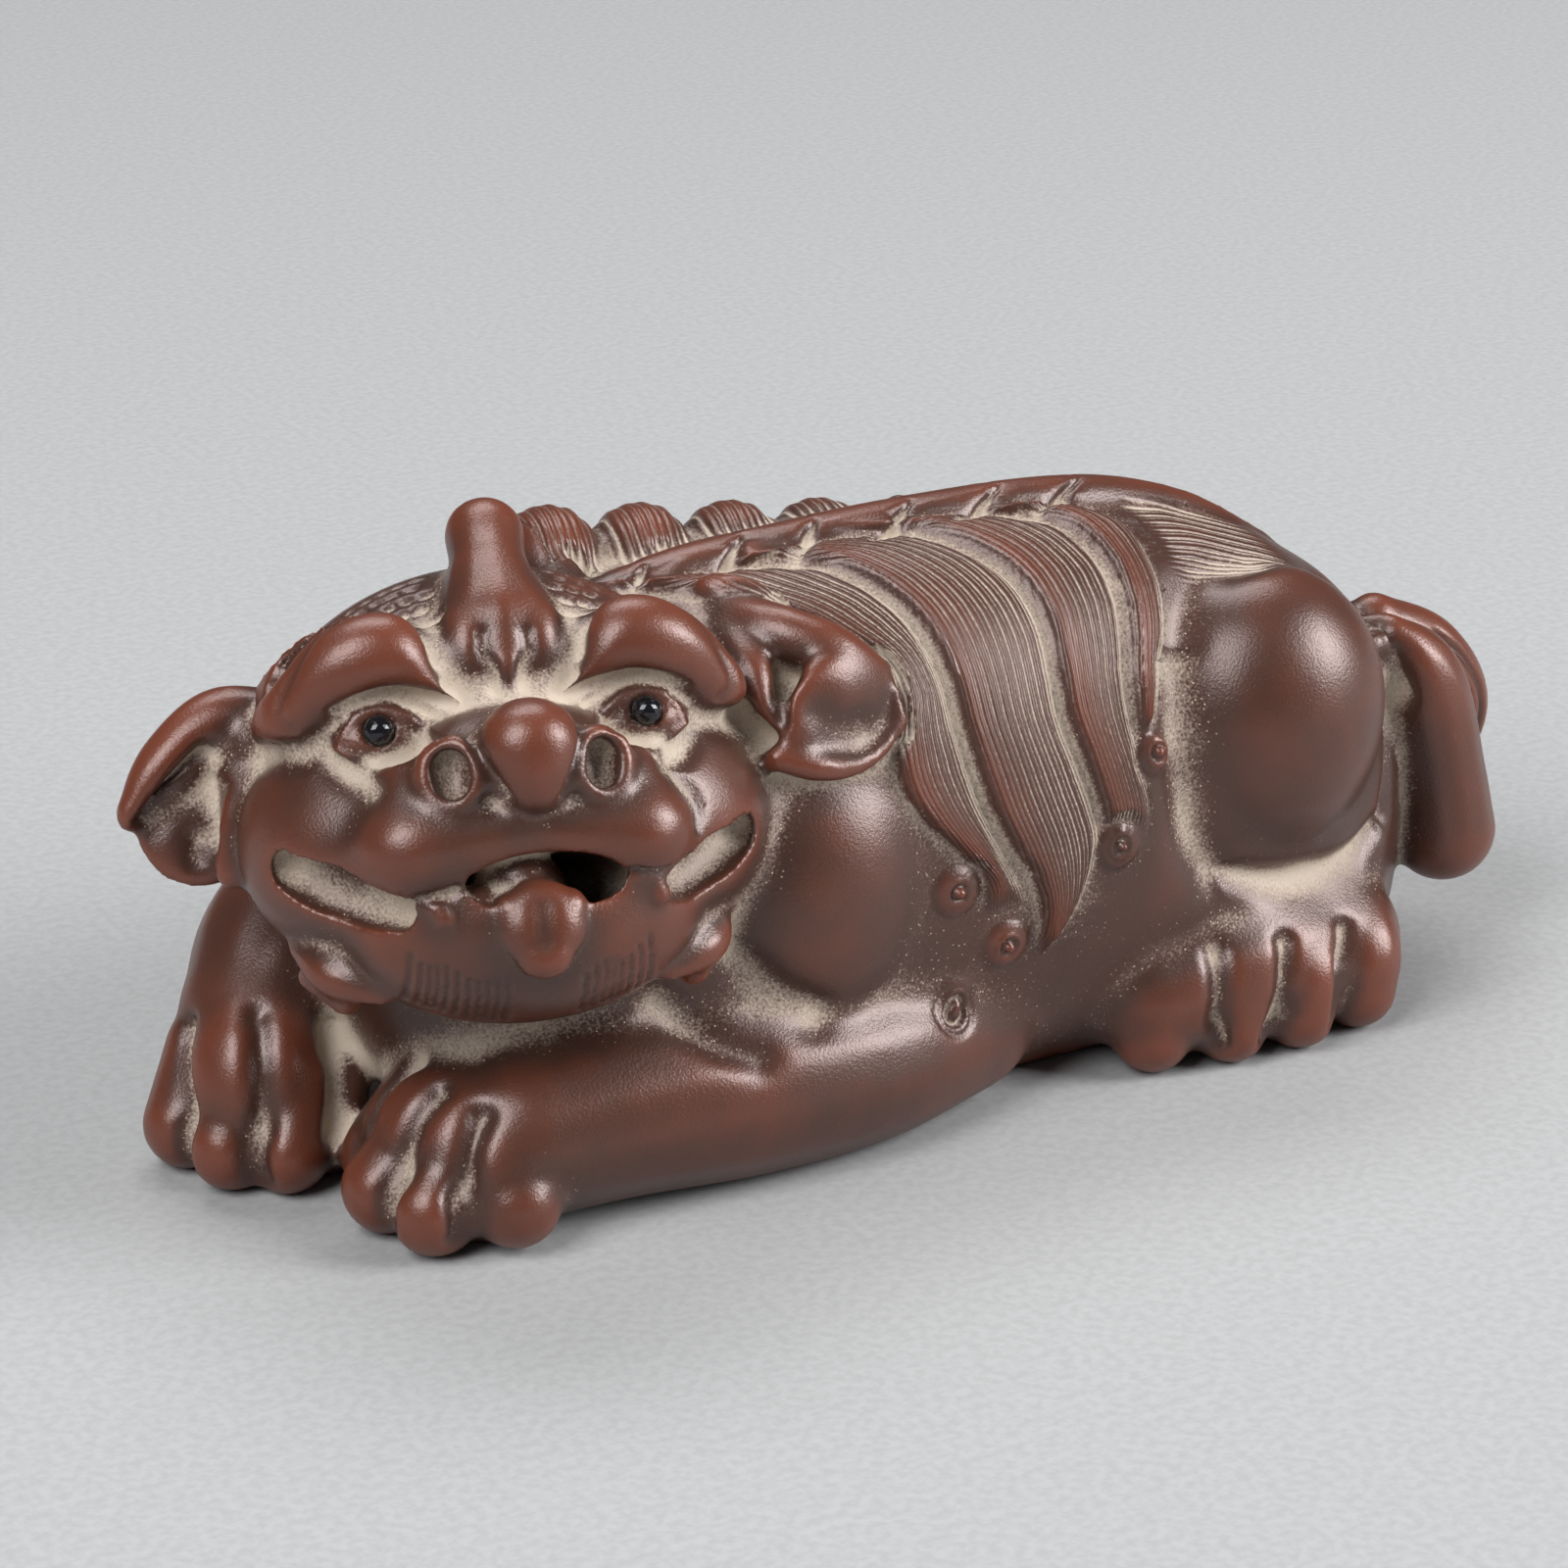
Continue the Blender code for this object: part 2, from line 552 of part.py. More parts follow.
def tail_forms():
    """The tail's rolls, folded up against the rump."""
    clay = Clay()
    clay.roll([(63, -12, 38), (68, -12.5, 33), (71, -12.5, 22), (72.4, -12, 15)], [3.4, 4.8, 5.2, 5.8])
    clay.roll([(68, -4, 37), (75.0, -4, 32), (78.4, -4, 25), (75, -4, 18)], [3.0, 4.3, 4.6, 3.5])
    clay.roll([(66, 6, 36), (71, 6, 29), (72, 6, 20), (70, 6, 12)], [3.5, 4.8, 5.2, 5.4])
    return clay.mesh()


def mouth_cut():
    """The opening round the tongue and the two pockets at the mouth's corners."""
    clay = Clay(head_frame())
    clay.lump((0.9, -15, -8.8), (MOUTH_HALF_WIDTH, 14, MOUTH_HALF_HEIGHT))
    for side, start in ((-1, (10.8, -19.8, -11.2)), (1, (14.0, -18.4, -10.0))):
        points = [start, (15.9, -17.6, -9.6), (18.8, -15.4, -7.8), (21.2, -13.0, -5.4)]
        clay.roll([(side * x, y, z) for x, y, z in points],
                  [POCKET_RADIUS - 0.3, POCKET_RADIUS, POCKET_RADIUS, POCKET_RADIUS - 0.6])
    return pressed_together([clay.mesh()], FINE_VOXEL, 2)


def eyeball_front(x, z):
    """The point at the front of the eyeball, given its side and height."""
    centre, radii = EYEBALL
    room = 1 - ((x - centre[0]) / (radii[0] + 0.3)) ** 2 - ((z - centre[2]) / (radii[2] + 0.3)) ** 2
    return (x, centre[1] - radii[1] * math.sqrt(max(room, 0.04)), z)


def fine_forms():
    """Eyeballs, lids and tongue."""
    clay = Clay(head_frame())
    clay.lump(*EYEBALL, both=True)
    for lid, radius in ((UPPER_LID, LID_RADIUS), (LOWER_LID, 0.75 * LID_RADIUS)):
        clay.roll([eyeball_front(x, z) for x, z in lid],
                  [radius * share for share in (0.6, 0.8, 0.95, 1, 0.95, 0.75, 0.5)], both=True)
    clay.roll([(0.5, -9, -9.6), (0.5, -16, -9.8), (0.5, -19.6, -10.4)], [3.3, 3.3, 3.2])
    clay.lump((0.5, -20.8, -12.0), (TONGUE_WIDTH / 2, 2.6, 3.6))
    clay.lump((0.5, -20.4, -14.4), (2.9, 2.2, 2.2))
    return clay.mesh()


def scored_face(tool):
    """Folds of the lids and brows, creases, nostrils, horn lobes and the edges of the mouth."""
    head = head_frame()
    tool.line([(x, -17, z) for x, z in BROW[-9:]], 0.9, 0.7, head, both=True)
    tool.line([(x, -16, z) for x, z in BROW[:11]], 0.9, 0.4, head, both=True)
    tool.line([(x, -17, z - 2.2) for x, z in LOWER_LID], 0.7, 0.4, head, both=True)
    tool.line([(24, -2, 5.6), (22.2, -6, 5.4), (19.9, -11.3, 5.1), (17.6, -14, 4.6), (16.3, -16, 3.0),
               (14.4, -17.4, 1.4), (12.8, -18.2, 0.0)], 1.6, 0.7, head, both=True)
    tool.line([(12.4, -18.2, 1.2), (14.4, -17.8, -0.8), (15.6, -17.2, -2.9), (15.6, -17.8, -5.0)],
              1.1, 0.7, head)
    tool.line([(5.0, -23.5, 5.4), (4.5, -25, 2.8), (3.6, -25.5, 0.4), (2.7, -25, -1.8)],
              0.7, 0.8, head, both=True)
    tool.line([(6.5, -22.5, 2.2), (6.1, -23, 0.8)], 1.1, 1.5, head, both=True)
    tool.line([(6.2, -22.5, 1.6), (5.9, -23, 0.0), (5.2, -23.2, -1.4)], 1.3, 0.8, head, both=True)
    tool.line([(-1.9, -18, 14.8), (-2.1, -19, 12.2), (-1.6, -18, 9.4)], 0.6, 0.7, head)
    tool.line([(1.6, -18, 14.4), (1.8, -19, 12.2), (1.4, -18, 9.6)], 0.6, 0.7, head)
    tool.ring((0.4, -7.2, 22.8), (4.4, 0, -0.6), (0, -4.2, 1.8), 0.5, 0.25, head)
    tool.line([(-12.5, -19, -8.9), (-9, -20, -9.6), (-5.5, -21, -8.4)], 0.5, 0.7, head)
    tool.line([(9.2, -21, -8.2), (12, -20, -8.6), (14.5, -18.6, -7.4)], 0.5, 0.7, head)
    tool.line([(0.5, -22, -10.6), (0.5, -22.8, -12.8), (0.5, -22.4, -14.8)], 1.5, 0.6, head)
    for side in (-1, 1):
        tool.ring((side * 19.8, -12.6, 12.4), (side * 0.8, 1.3, 0.2), (side * 0.6, 0.3, -2.9), 0.4, 0.6, head)
    tool.line([(-27.0, -2, 5.6), (-29.6, -1.6, 2.6), (-32.6, 0, -0.6)], 1.3, 1.9, head)
    tool.line([(-27.4, -1, 3.6), (-28.4, 0, 0), (-29, 1, -3.2)], 1.3, 0.7, head)


def scored_body(tool):
    """Hollows of the swept ear, rings of the curls, flames of the spine, folds and toes."""
    tool.line([(-13.2, -19, 51.8), (-10.4, -21.6, 50.6), (-6.4, -22.4, 48.6), (-3.2, -21.6, 47.0)], 0.9, 1.5)
    tool.line([(-13.6, -20.4, 51.6), (-14.2, -21.4, 49.4), (-14.4, -22, 47.6)], 0.9, 1.2)
    tool.line([(-13.4, -22, 49.4), (-12.6, -23.4, 47.4)], 1.6, 1.0)
    for x, angle in CURLS:
        for side in (-1, 1):
            tool.ring(back_point(x, angle, side, 2.2), (1.15, 0, 0), (0, 0, 1.15), 0.4, 0.6)
    for top_x, foot_x in FLAMES:
        z = back_point(foot_x, 90).z
        middle = 0.5 * (top_x + foot_x)
        for side in (-1, 1):
            tool.line([(top_x, side * 0.3, z + 3), (middle, side * 2.2, z + 2)], 0.6, 0.7)
            tool.line([(middle + 0.6, side * 2.0, z + 2), (foot_x, side * 4.6, z)], 1.0, 1.2)
    tool.line([(-24, -22, 28), (-21.9, -22.9, 25.7), (-16.8, -23.4, 21.2), (-12.5, -26, 17)], 1.7, 1.0)
    tool.line([(-29, -22, 21), (-24.4, -25.2, 17.3), (-19.0, -27, 14)], 1.4, 0.8)
    for side in (-1, 1):
        tool.line([(31.5, side * 21, 48), (31, side * 22, 38), (32, side * 22, 27), (35, side * 23, 21.5)],
                  2.4, 1.3)
        tool.line([(34, side * 23, 22), (44, side * 24, 18.6), (55, side * 23, 18.2), (60, side * 20, 20)],
                  1.6, 1.6)
        tool.line([(61, side * 18, 21), (63, side * 16, 30), (62.5, side * 15, 40), (60, side * 12, 47)],
                  1.9, 1.5)
        for x, y in ((33.6, 27), (41.4, 28), (50.0, 28)):
            tool.line([(x + 1.8, side * (y - 6), 15.5), (x + 0.4, side * (y - 1), 11), (x, side * y, 4)],
                      1.0, TOE_GROOVE_DEPTH)
    grooves = (((-45, -13.4, 18), (-47.9, -12.2, 16.2), (-51.4, -10.6, 14.1), (-55.1, -11, 10), (-56, -11, 4)),
               ((-44.5, -15.6, 17), (-48, -17.1, 15.6), (-52.4, -18, 14), (-56.2, -18.8, 11), (-57.6, -19.2, 4)),
               ((-46, -20.6, 15), (-48.4, -22.3, 14), (-50.9, -24.0, 12), (-52.0, -25.4, 8), (-52.4, -26, 3)),
               ((-63, 12, 17), (-64.2, 9, 14.3), (-65.6, 6.4, 11.2), (-67, 4.2, 8), (-67.4, 3.8, 3)),
               ((-58.8, 6, 18), (-59.9, 3.2, 15.8), (-61.4, -0.6, 12), (-62, -2, 8), (-62.2, -2.6, 3)),
               ((-53.1, 4, 18), (-53.4, 2.0, 15), (-53.8, -0.6, 11.6), (-55, -2.6, 6)))
    for groove, width in zip(grooves, (0.8, 1.1, 1.1, 0.9, 1.35, 1.1)):
        tool.line(groove, width, TOE_GROOVE_DEPTH)


def slab_below(level):
    """A block under a level, which trims a shape flat there."""
    bm = bmesh.new()
    place = Matrix.Translation((0, 0, level - 20)) @ Matrix.Diagonal((300, 200, 40, 1))
    bmesh.ops.create_cube(bm, size=1, matrix=place)
    return mesh_of(bm, "slab")


def hollow_mesh():
    """The scooped-out inside, which meets the mouth's opening."""
    clay = Clay()
    clay.roll([(-24, 1, 30), (-32, -3, 34)], [13, 11])
    head = Clay(head_frame())
    head.lump((0, -1, -1), HEAD_HOLLOW)
    head.roll([(0.4, -2, -8.4), (0.4, -9, -8.6)], [2.6, 2.2])
    core = pressed_together([torso_mesh(WALL), clay.mesh(), head.mesh()], HOLLOW_VOXEL, 4)
    core = worked(core, ("DECIMATE", {"ratio": HOLLOW_BUDGET / (2 * len(core.polygons))}))
    return cut(core, slab_below(FLOOR_WALL))


def figure_mesh():
    """The whole clay figure, hollow, with a flat underside."""
    masses = pressed_together([torso_mesh(), body_masses(), head_masses()], SOFT_VOXEL, 10)
    parts = [masses, face_forms(), *ear_forms(), paw_forms(), mane_forms(), tail_forms()]
    forms = face_pads().press_into(pressed_together(parts, FORM_VOXEL, 3))
    forms = cut(forms, mouth_cut())
    skin = locks_raised(pressed_together([forms, fine_forms()], FINE_VOXEL, 2))
    tool = Scoring()
    scored_face(tool)
    scored_body(tool)
    return tool.press_into(skin)


def bead_ball(side, radius):
    """A ball at the eye on one side of the head."""
    bm = bmesh.new()
    place = head_frame() @ Matrix.Translation((side * EYE_SIDE, -EYE_FORWARD, EYE_UP))
    bmesh.ops.create_icosphere(bm, subdivisions=3, radius=radius, matrix=place)
    return mesh_of(bm, "bead")


def finished(name, mesh, dressing):
    """A named object in metres, shaded smooth, in its own material."""
    mesh.transform(Matrix.Scale(MM, 4))
    mesh.shade_smooth()
    mesh.materials.clear()
    mesh.materials.append(dressing)
    return link(name, mesh)


def material(name, colour, roughness):
    """A Principled material of one colour."""
    made = bpy.data.materials.new(name)
    made.use_nodes = True
    shader = made.node_tree.nodes["Principled BSDF"]
    shader.inputs["Base Color"].default_value = colour
    shader.inputs["Roughness"].default_value = roughness
    return made


def main():
    for obj in list(bpy.data.objects):
        bpy.data.objects.remove(obj)
    skin = figure_mesh()
    triangles = 2 * len(skin.polygons)
    skin = worked(skin, ("DECIMATE", {"ratio": FACE_BUDGET / triangles}))
    skin = cut(skin, slab_below(0))
    skin = cut(skin, hollow_mesh())
    for side in (-1, 1):
        skin = cut(skin, bead_ball(side, BEAD_RADIUS + BEAD_GAP))
    finished("figure", skin, material("stoneware", CLAY_COLOUR, 0.42))
    glaze = material("bead_glaze", BEAD_COLOUR, 0.08)
    for name, side in (("eye_bead_right", -1), ("eye_bead_left", 1)):
        finished(name, bead_ball(side, BEAD_RADIUS), glaze)


main()
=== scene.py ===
"""Looks of a recumbent guardian lion, an unglazed stoneware tea pet with two inlaid eye beads.

The figure is worked up the way a potter does it: soft masses are pressed together, forms are laid on
them, flat pads are raised, the mouth is cut, and lines, scales and strands are scored with a tool. The
finished skin stands for the CAD figure, and the eye beads stay as the CAD made them.

Sizes are in millimetres until a mesh is finished. The lion lies along X with its chest towards -X,
turns its face to -Y and stands on Z = 0. On the head, X is to the side, -Y is forward out of the face
and Z is up, from the middle of the skull.
"""

import logging
import math
from dataclasses import dataclass
from enum import Enum
from typing import Any, Optional, Sequence

import bmesh
import bpy
import numpy as np
from mathutils import Matrix, Vector
from mathutils.bvhtree import BVHTree
from mathutils.kdtree import KDTree


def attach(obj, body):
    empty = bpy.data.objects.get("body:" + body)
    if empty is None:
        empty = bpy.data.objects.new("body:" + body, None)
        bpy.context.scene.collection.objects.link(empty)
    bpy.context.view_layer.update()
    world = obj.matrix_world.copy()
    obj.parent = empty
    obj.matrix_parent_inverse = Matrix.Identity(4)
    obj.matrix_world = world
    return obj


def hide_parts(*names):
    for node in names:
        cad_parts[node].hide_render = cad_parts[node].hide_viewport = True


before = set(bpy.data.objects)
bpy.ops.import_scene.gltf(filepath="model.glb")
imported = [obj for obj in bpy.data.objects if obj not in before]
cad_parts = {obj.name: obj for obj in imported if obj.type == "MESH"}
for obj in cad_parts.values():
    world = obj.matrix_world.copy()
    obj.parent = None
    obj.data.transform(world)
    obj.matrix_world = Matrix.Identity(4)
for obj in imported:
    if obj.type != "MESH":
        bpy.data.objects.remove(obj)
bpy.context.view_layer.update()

LOG = logging.getLogger("tea_pet")
MM = 0.001

Point = Sequence[float]
Mesh = bpy.types.Mesh


def smooth_line(points: Sequence[Point], per_span: int = 6) -> np.ndarray:
    """Catmull-Rom samples through points.

    Args:
        points: Points of any number of coordinates.
        per_span: Samples on each span between two points.

    Returns:
        One sample a row, the last point included.
    """
    pts = np.array(points, float)
    pts = np.vstack([2 * pts[0] - pts[1], pts, 2 * pts[-1] - pts[-2]])
    out = []
    for i in range(1, len(pts) - 2):
        p0, p1, p2, p3 = pts[i - 1 : i + 3]
        for t in np.linspace(0, 1, per_span, endpoint=False):
            bend = (2 * p0 - 5 * p1 + 4 * p2 - p3) * t**2
            out.append(0.5 * (2 * p1 + (p2 - p0) * t + bend + (3 * p1 - p0 - 3 * p2 + p3) * t**3))
    out.append(pts[-2])
    return np.array(out)


def eased(values: np.ndarray, low: float, high: float) -> np.ndarray:
    """A smooth step; two values that are the wrong way round turn it over.

    Args:
        values: The values to step over.
        low: Where the step is 0.
        high: Where the step is 1.

    Returns:
        The step at each value.
    """
    share = np.clip((values - low) / (high - low), 0, 1)
    return share * share * (3 - 2 * share)


def linked(name: str, data: Any) -> bpy.types.Object:
    """Puts a new object into the scene.

    Args:
        name: The object's name.
        data: Its mesh, curve, lamp or camera.

    Returns:
        The object.
    """
    obj = bpy.data.objects.new(name, data)
    bpy.context.scene.collection.objects.link(obj)
    return obj


def evaluated_mesh(obj: bpy.types.Object) -> Mesh:
    """Applies an object's modifiers.

    Args:
        obj: The object, which stays as it is.

    Returns:
        A copy of its mesh with the modifiers applied.
    """
    bpy.context.view_layer.update()
    graph = bpy.context.evaluated_depsgraph_get()
    return bpy.data.meshes.new_from_object(obj.evaluated_get(graph))


def worked(mesh: Mesh, *steps: tuple[str, dict[str, Any]]) -> Mesh:
    """The mesh after a list of modifiers.

    Args:
        mesh: The mesh to work on.
        steps: Each a modifier type with its settings.

    Returns:
        A new mesh with the modifiers applied in order.
    """
    carrier = linked("work", mesh)
    for kind, settings in steps:
        modifier = carrier.modifiers.new(kind, kind)
        for name, value in settings.items():
            setattr(modifier, name, value)
    result = evaluated_mesh(carrier)
    bpy.data.objects.remove(carrier)
    return result


def mesh_of(bm: bmesh.types.BMesh, name: str) -> Mesh:
    """Turns a bmesh into a mesh.

    Args:
        bm: The bmesh, which is freed.
        name: The mesh's name.

    Returns:
        The mesh.
    """
    mesh = bpy.data.meshes.new(name)
    bm.to_mesh(mesh)
    bm.free()
    return mesh


def places_of(mesh: Mesh) -> np.ndarray:
    """Reads where a mesh's vertices are.

    Args:
        mesh: The mesh.

    Returns:
        One place a row.
    """
    flat = np.empty(3 * len(mesh.vertices))
    mesh.vertices.foreach_get("co", flat)
    return flat.reshape(-1, 3)


def normals_of(mesh: Mesh) -> np.ndarray:
    """Reads a mesh's vertex normals.

    Args:
        mesh: The mesh.

    Returns:
        One normal a row.
    """
    flat = np.empty(3 * len(mesh.vertices), np.float32)
    mesh.vertex_normals.foreach_get("vector", flat)
    return flat.reshape(-1, 3)


def moved(mesh: Mesh, places: np.ndarray) -> Mesh:
    """Moves a mesh's vertices.

    Args:
        mesh: The mesh, which is changed.
        places: Its vertices' new places, one a row.

    Returns:
        The same mesh.
    """
    mesh.vertices.foreach_set("co", places.ravel())
    mesh.update()
    return mesh


def distances_to(places: np.ndarray, line: np.ndarray) -> np.ndarray:
    """Measures how far places are from a line, its stretches taken as straight.

    Args:
        places: The places, one a row.
        line: The line's points, one a row.

    Returns:
        The distance of each place.
    """
    best = np.full(len(places), np.inf)
    for a, b in zip(line, line[1:]):
        run = b - a
        share = np.clip((places - a) @ run / max(run @ run, 1e-9), 0, 1)
        best = np.minimum(best, np.linalg.norm(places - a - share[:, None] * run, axis=1))
    return best


def inside(places: np.ndarray, outline: np.ndarray) -> np.ndarray:
    """Tells which places lie inside a closed outline, both in two coordinates.

    Args:
        places: The places, one a row.
        outline: The outline's corners, one a row.

    Returns:
        True for each place that is inside.
    """
    within = np.zeros(len(places), bool)
    for (ax, ay), (bx, by) in zip(outline, np.roll(outline, -1, axis=0)):
        if ay == by:
            continue
        crosses = (ay > places[:, 1]) != (by > places[:, 1])
        at = ax + (places[:, 1] - ay) / (by - ay) * (bx - ax)
        within ^= crosses & (places[:, 0] < at)
    return within


class Clay:
    """One batch of overlapping lumps and rolls, waiting to be pressed together."""

    EGG_STEPS = 4
    ROLL_STEPS = 4

    def __init__(self, frame_matrix: Optional[Matrix] = None) -> None:
        """Starts an empty batch.

        Args:
            frame_matrix: The frame that its points are given in; the figure's own if none is given.
        """
        self.frame = frame_matrix or Matrix.Identity(4)
        self.eggs = bmesh.new()
        self.curve = bpy.data.curves.new("rolls", "CURVE")
        self.curve.dimensions = "3D"
        self.curve.bevel_depth = 1.0
        self.curve.bevel_resolution = self.ROLL_STEPS
        self.curve.use_fill_caps = True

    def lump(self, centre: Point, radii: Point, turn: Point = (0, 0, 0), both: bool = False) -> None:
        """Adds an egg.

        Args:
            centre: Its middle.
            radii: Its half sizes.
            turn: Degrees about X, Y and Z.
            both: Whether its mirror image in X is added too.
        """
        place = Matrix.Translation(Vector(centre))
        for angle, axis in zip(turn, "XYZ"):
            place = place @ Matrix.Rotation(math.radians(angle), 4, axis)
        place = place @ Matrix.Diagonal((*radii, 1))
        flip = Matrix.Diagonal((-1, 1, 1, 1))
        for matrix in (place, flip @ place @ flip) if both else (place,):
            bmesh.ops.create_icosphere(
                self.eggs, subdivisions=self.EGG_STEPS, radius=1, matrix=self.frame @ matrix
            )

    def roll(self, points: Sequence[Point], radii: Any, both: bool = False) -> None:
        """Adds a tapered roll with round ends along a smooth line.

        Args:
            points: Points that its middle runs through.
            radii: One radius, or one at each point.
            both: Whether its mirror image in X is added too.
        """
        if np.isscalar(radii):
            radii = [radii] * len(points)
        line = smooth_line([(*p, r) for p, r in zip(points, radii)])
        for side in (1, -1) if both else (1,):
            self._tube([self.frame @ Vector((side * x, y, z)) for x, y, z, _ in line], line[:, 3])

    def _tube(self, path: list[Vector], radii: np.ndarray) -> None:
        """Adds a bevelled spline with a ball at each end.

        Args:
            path: The points that it runs through.
            radii: Its radius at each point.
        """
        spline = self.curve.splines.new("POLY")
        spline.points.add(len(path) - 1)
        for point, place, radius in zip(spline.points, path, radii):
            point.co = (*place, 1)
            point.radius = radius
        for place, radius in ((path[0], radii[0]), (path[-1], radii[-1])):
            ball = Matrix.Translation(place) @ Matrix.Diagonal((radius, radius, radius, 1))
            bmesh.ops.create_icosphere(self.eggs, subdivisions=3, radius=1, matrix=ball)

    def mesh(self) -> Mesh:
        """Closes the batch.

        Returns:
            All its lumps and rolls as one mesh of overlapping shells.
        """
        if self.curve.splines:
            carrier = linked("rolls", self.curve)
            self.eggs.from_mesh(evaluated_mesh(carrier))
            bpy.data.objects.remove(carrier)
            bmesh.ops.remove_doubles(self.eggs, verts=self.eggs.verts, dist=1e-4)
        return mesh_of(self.eggs, "clay")


class Tool:
    """Marks to be made in a skin of clay: pads raised on it and lines pressed into it."""

    LINE_REACH = 3.0
    PAD_REACH = 7.0
    CAST = 60.0

    def __init__(self, frame_matrix: Optional[Matrix] = None) -> None:
        """Starts with no marks.

        Args:
            frame_matrix: The frame that points are given in; the figure's own if none is given.
        """
        self.frame = frame_matrix or Matrix.Identity(4)
        self.lines: list[tuple[list[Vector], float, float]] = []
        self.pads: list[tuple[list[Vector], float, float, Matrix]] = []

    def line(self, points: Sequence[Point], width: float, depth: float, both: bool = False) -> None:
        """Adds a groove, or a ridge where depth is negative.

        Args:
            points: Points that it runs through.
            width: Its half width.
            depth: Its depth.
            both: Whether its mirror image in X is added too.
        """
        for side in (1, -1) if both else (1,):
            path = [self.frame @ Vector((side * x, y, z)) for x, y, z in smooth_line(points, 8)]
            self.lines.append((path, width, depth))

    def ring(self, centre: Point, across: Point, along: Point, width: float, depth: float,
             both: bool = False) -> None:
        """Adds a closed groove in the form of an ellipse.

        Args:
            centre: Its middle.
            across: One half axis.
            along: The other half axis.
            width: Its half width.
            depth: Its depth.
            both: Whether its mirror image in X is added too.
        """
        turns = np.linspace(0, 2 * math.pi, 17)
        middle, a, b = Vector(centre), Vector(across), Vector(along)
        self.line([middle + a * math.cos(t) + b * math.sin(t) for t in turns], width, depth, both)

    def pad(self, outline: Sequence[Point], height: float, edge: float, both: bool = False) -> None:
        """Adds a raised area, or a sunk one where height is negative.

        Args:
            outline: Its closed outline as (side, up), laid onto the clay from the front.
            height: Its height.
            edge: How far in from the outline its rounded edge reaches its full height.
            both: Whether its mirror image in X is added too.
        """
        closed = smooth_line([*outline, outline[0]], 4)[:-1]
        for side in (1, -1) if both else (1,):
            path = [Vector((side * x, 0, z)) for x, z in closed]
            self.pads.append((path, height, edge, self.frame.copy()))

    def press_into(self, mesh: Mesh) -> Mesh:
        """Moves the skin along its normals by every mark.

        Args:
            mesh: The skin, which is changed.

        Returns:
            The same mesh.
        """
        places, normals = places_of(mesh), normals_of(mesh)
        skin = BVHTree.FromPolygons(places.tolist(), [p.vertices[:] for p in mesh.polygons])
        lift = np.zeros(len(places))
        for path, height, edge, matrix in self.pads:
            lift += self._pad_lift(places, normals, skin, path, height, edge, matrix)
        sunk, raised = np.zeros(len(places)), np.zeros(len(places))
        for path, width, depth in self.lines:
            line = np.array([skin.find_nearest(point)[0] for point in path])
            near = self._near(places, line, self.LINE_REACH * width)
            if not len(near):
                continue
            press = depth * np.exp(-((distances_to(places[near], line) / width) ** 2))
            sunk[near] = np.maximum(sunk[near], press)
            raised[near] = np.maximum(raised[near], -press)
        return moved(mesh, places + normals * (lift + raised - sunk)[:, None])

    @staticmethod
    def _near(places: np.ndarray, line: np.ndarray, reach: float) -> np.ndarray:
        """Numbers of the places within reach of the line's box."""
        boxed = ((places > line.min(0) - reach) & (places < line.max(0) + reach)).all(1)
        return np.flatnonzero(boxed)

    def _pad_lift(self, places: np.ndarray, normals: np.ndarray, skin: BVHTree, path: list[Vector],
                  height: float, edge: float, matrix: Matrix) -> np.ndarray:
        """Works out one pad.

        Args:
            places: The skin's vertices.
            normals: Their normals.
            skin: The skin, to lay the outline on.
            path: The pad's outline.
            height: Its height.
            edge: How far in from the outline it reaches its height.
            matrix: The frame of its outline.

        Returns:
            The height that the pad gives each place.
        """
        forward = (matrix.to_3x3() @ Vector((0, -1, 0))).normalized()
        line = []
        for point in path:
            hit = skin.ray_cast(matrix @ point + self.CAST * forward, -forward, 2 * self.CAST)[0]
            if hit is not None:
                line.append(hit)
        line = np.array([*line, line[0]])
        lift = np.zeros(len(places))
        near = self._near(places, line, self.PAD_REACH)
        near = near[normals[near] @ np.array(forward) > 0]
        back = np.array(matrix.inverted())
        local = places[near] @ back[:3, :3].T + back[:3, 3]
        flat = line @ back[:3, :3].T + back[:3, 3]
        near = near[inside(local[:, [0, 2]], flat[:-1, [0, 2]])]
        share = np.clip(distances_to(places[near], line) / edge, 0, 1)
        lift[near] = height * np.sqrt(1 - (1 - share) ** 2)
        return lift


class Fineness(Enum):
    """Voxel sizes, in millimetres, of the rounds of modelling: masses, forms and last skin."""

    FINAL = (1.0, 0.6, 0.4)
    QUICK = (1.4, 0.9, 0.6)

    @classmethod
    def chosen(cls) -> "Fineness":
        """The fine sizes, which are always the ones chosen."""
        return cls.FINAL


def pressed_together(meshes: Sequence[Mesh], voxel: float, passes: int) -> Mesh:
    """Overlapping meshes fused into one skin, with its creases softened.

    Args:
        meshes: The meshes to fuse.
        voxel: Voxel size of the remesh.
        passes: Smoothing passes after it.

    Returns:
        The skin.
    """
    heap = bmesh.new()
    for mesh in meshes:
        heap.from_mesh(mesh)
    return worked(
        mesh_of(heap, "heap"),
        ("REMESH", {"mode": "VOXEL", "voxel_size": voxel}),
        ("SMOOTH", {"factor": 0.5, "iterations": passes}),
    )


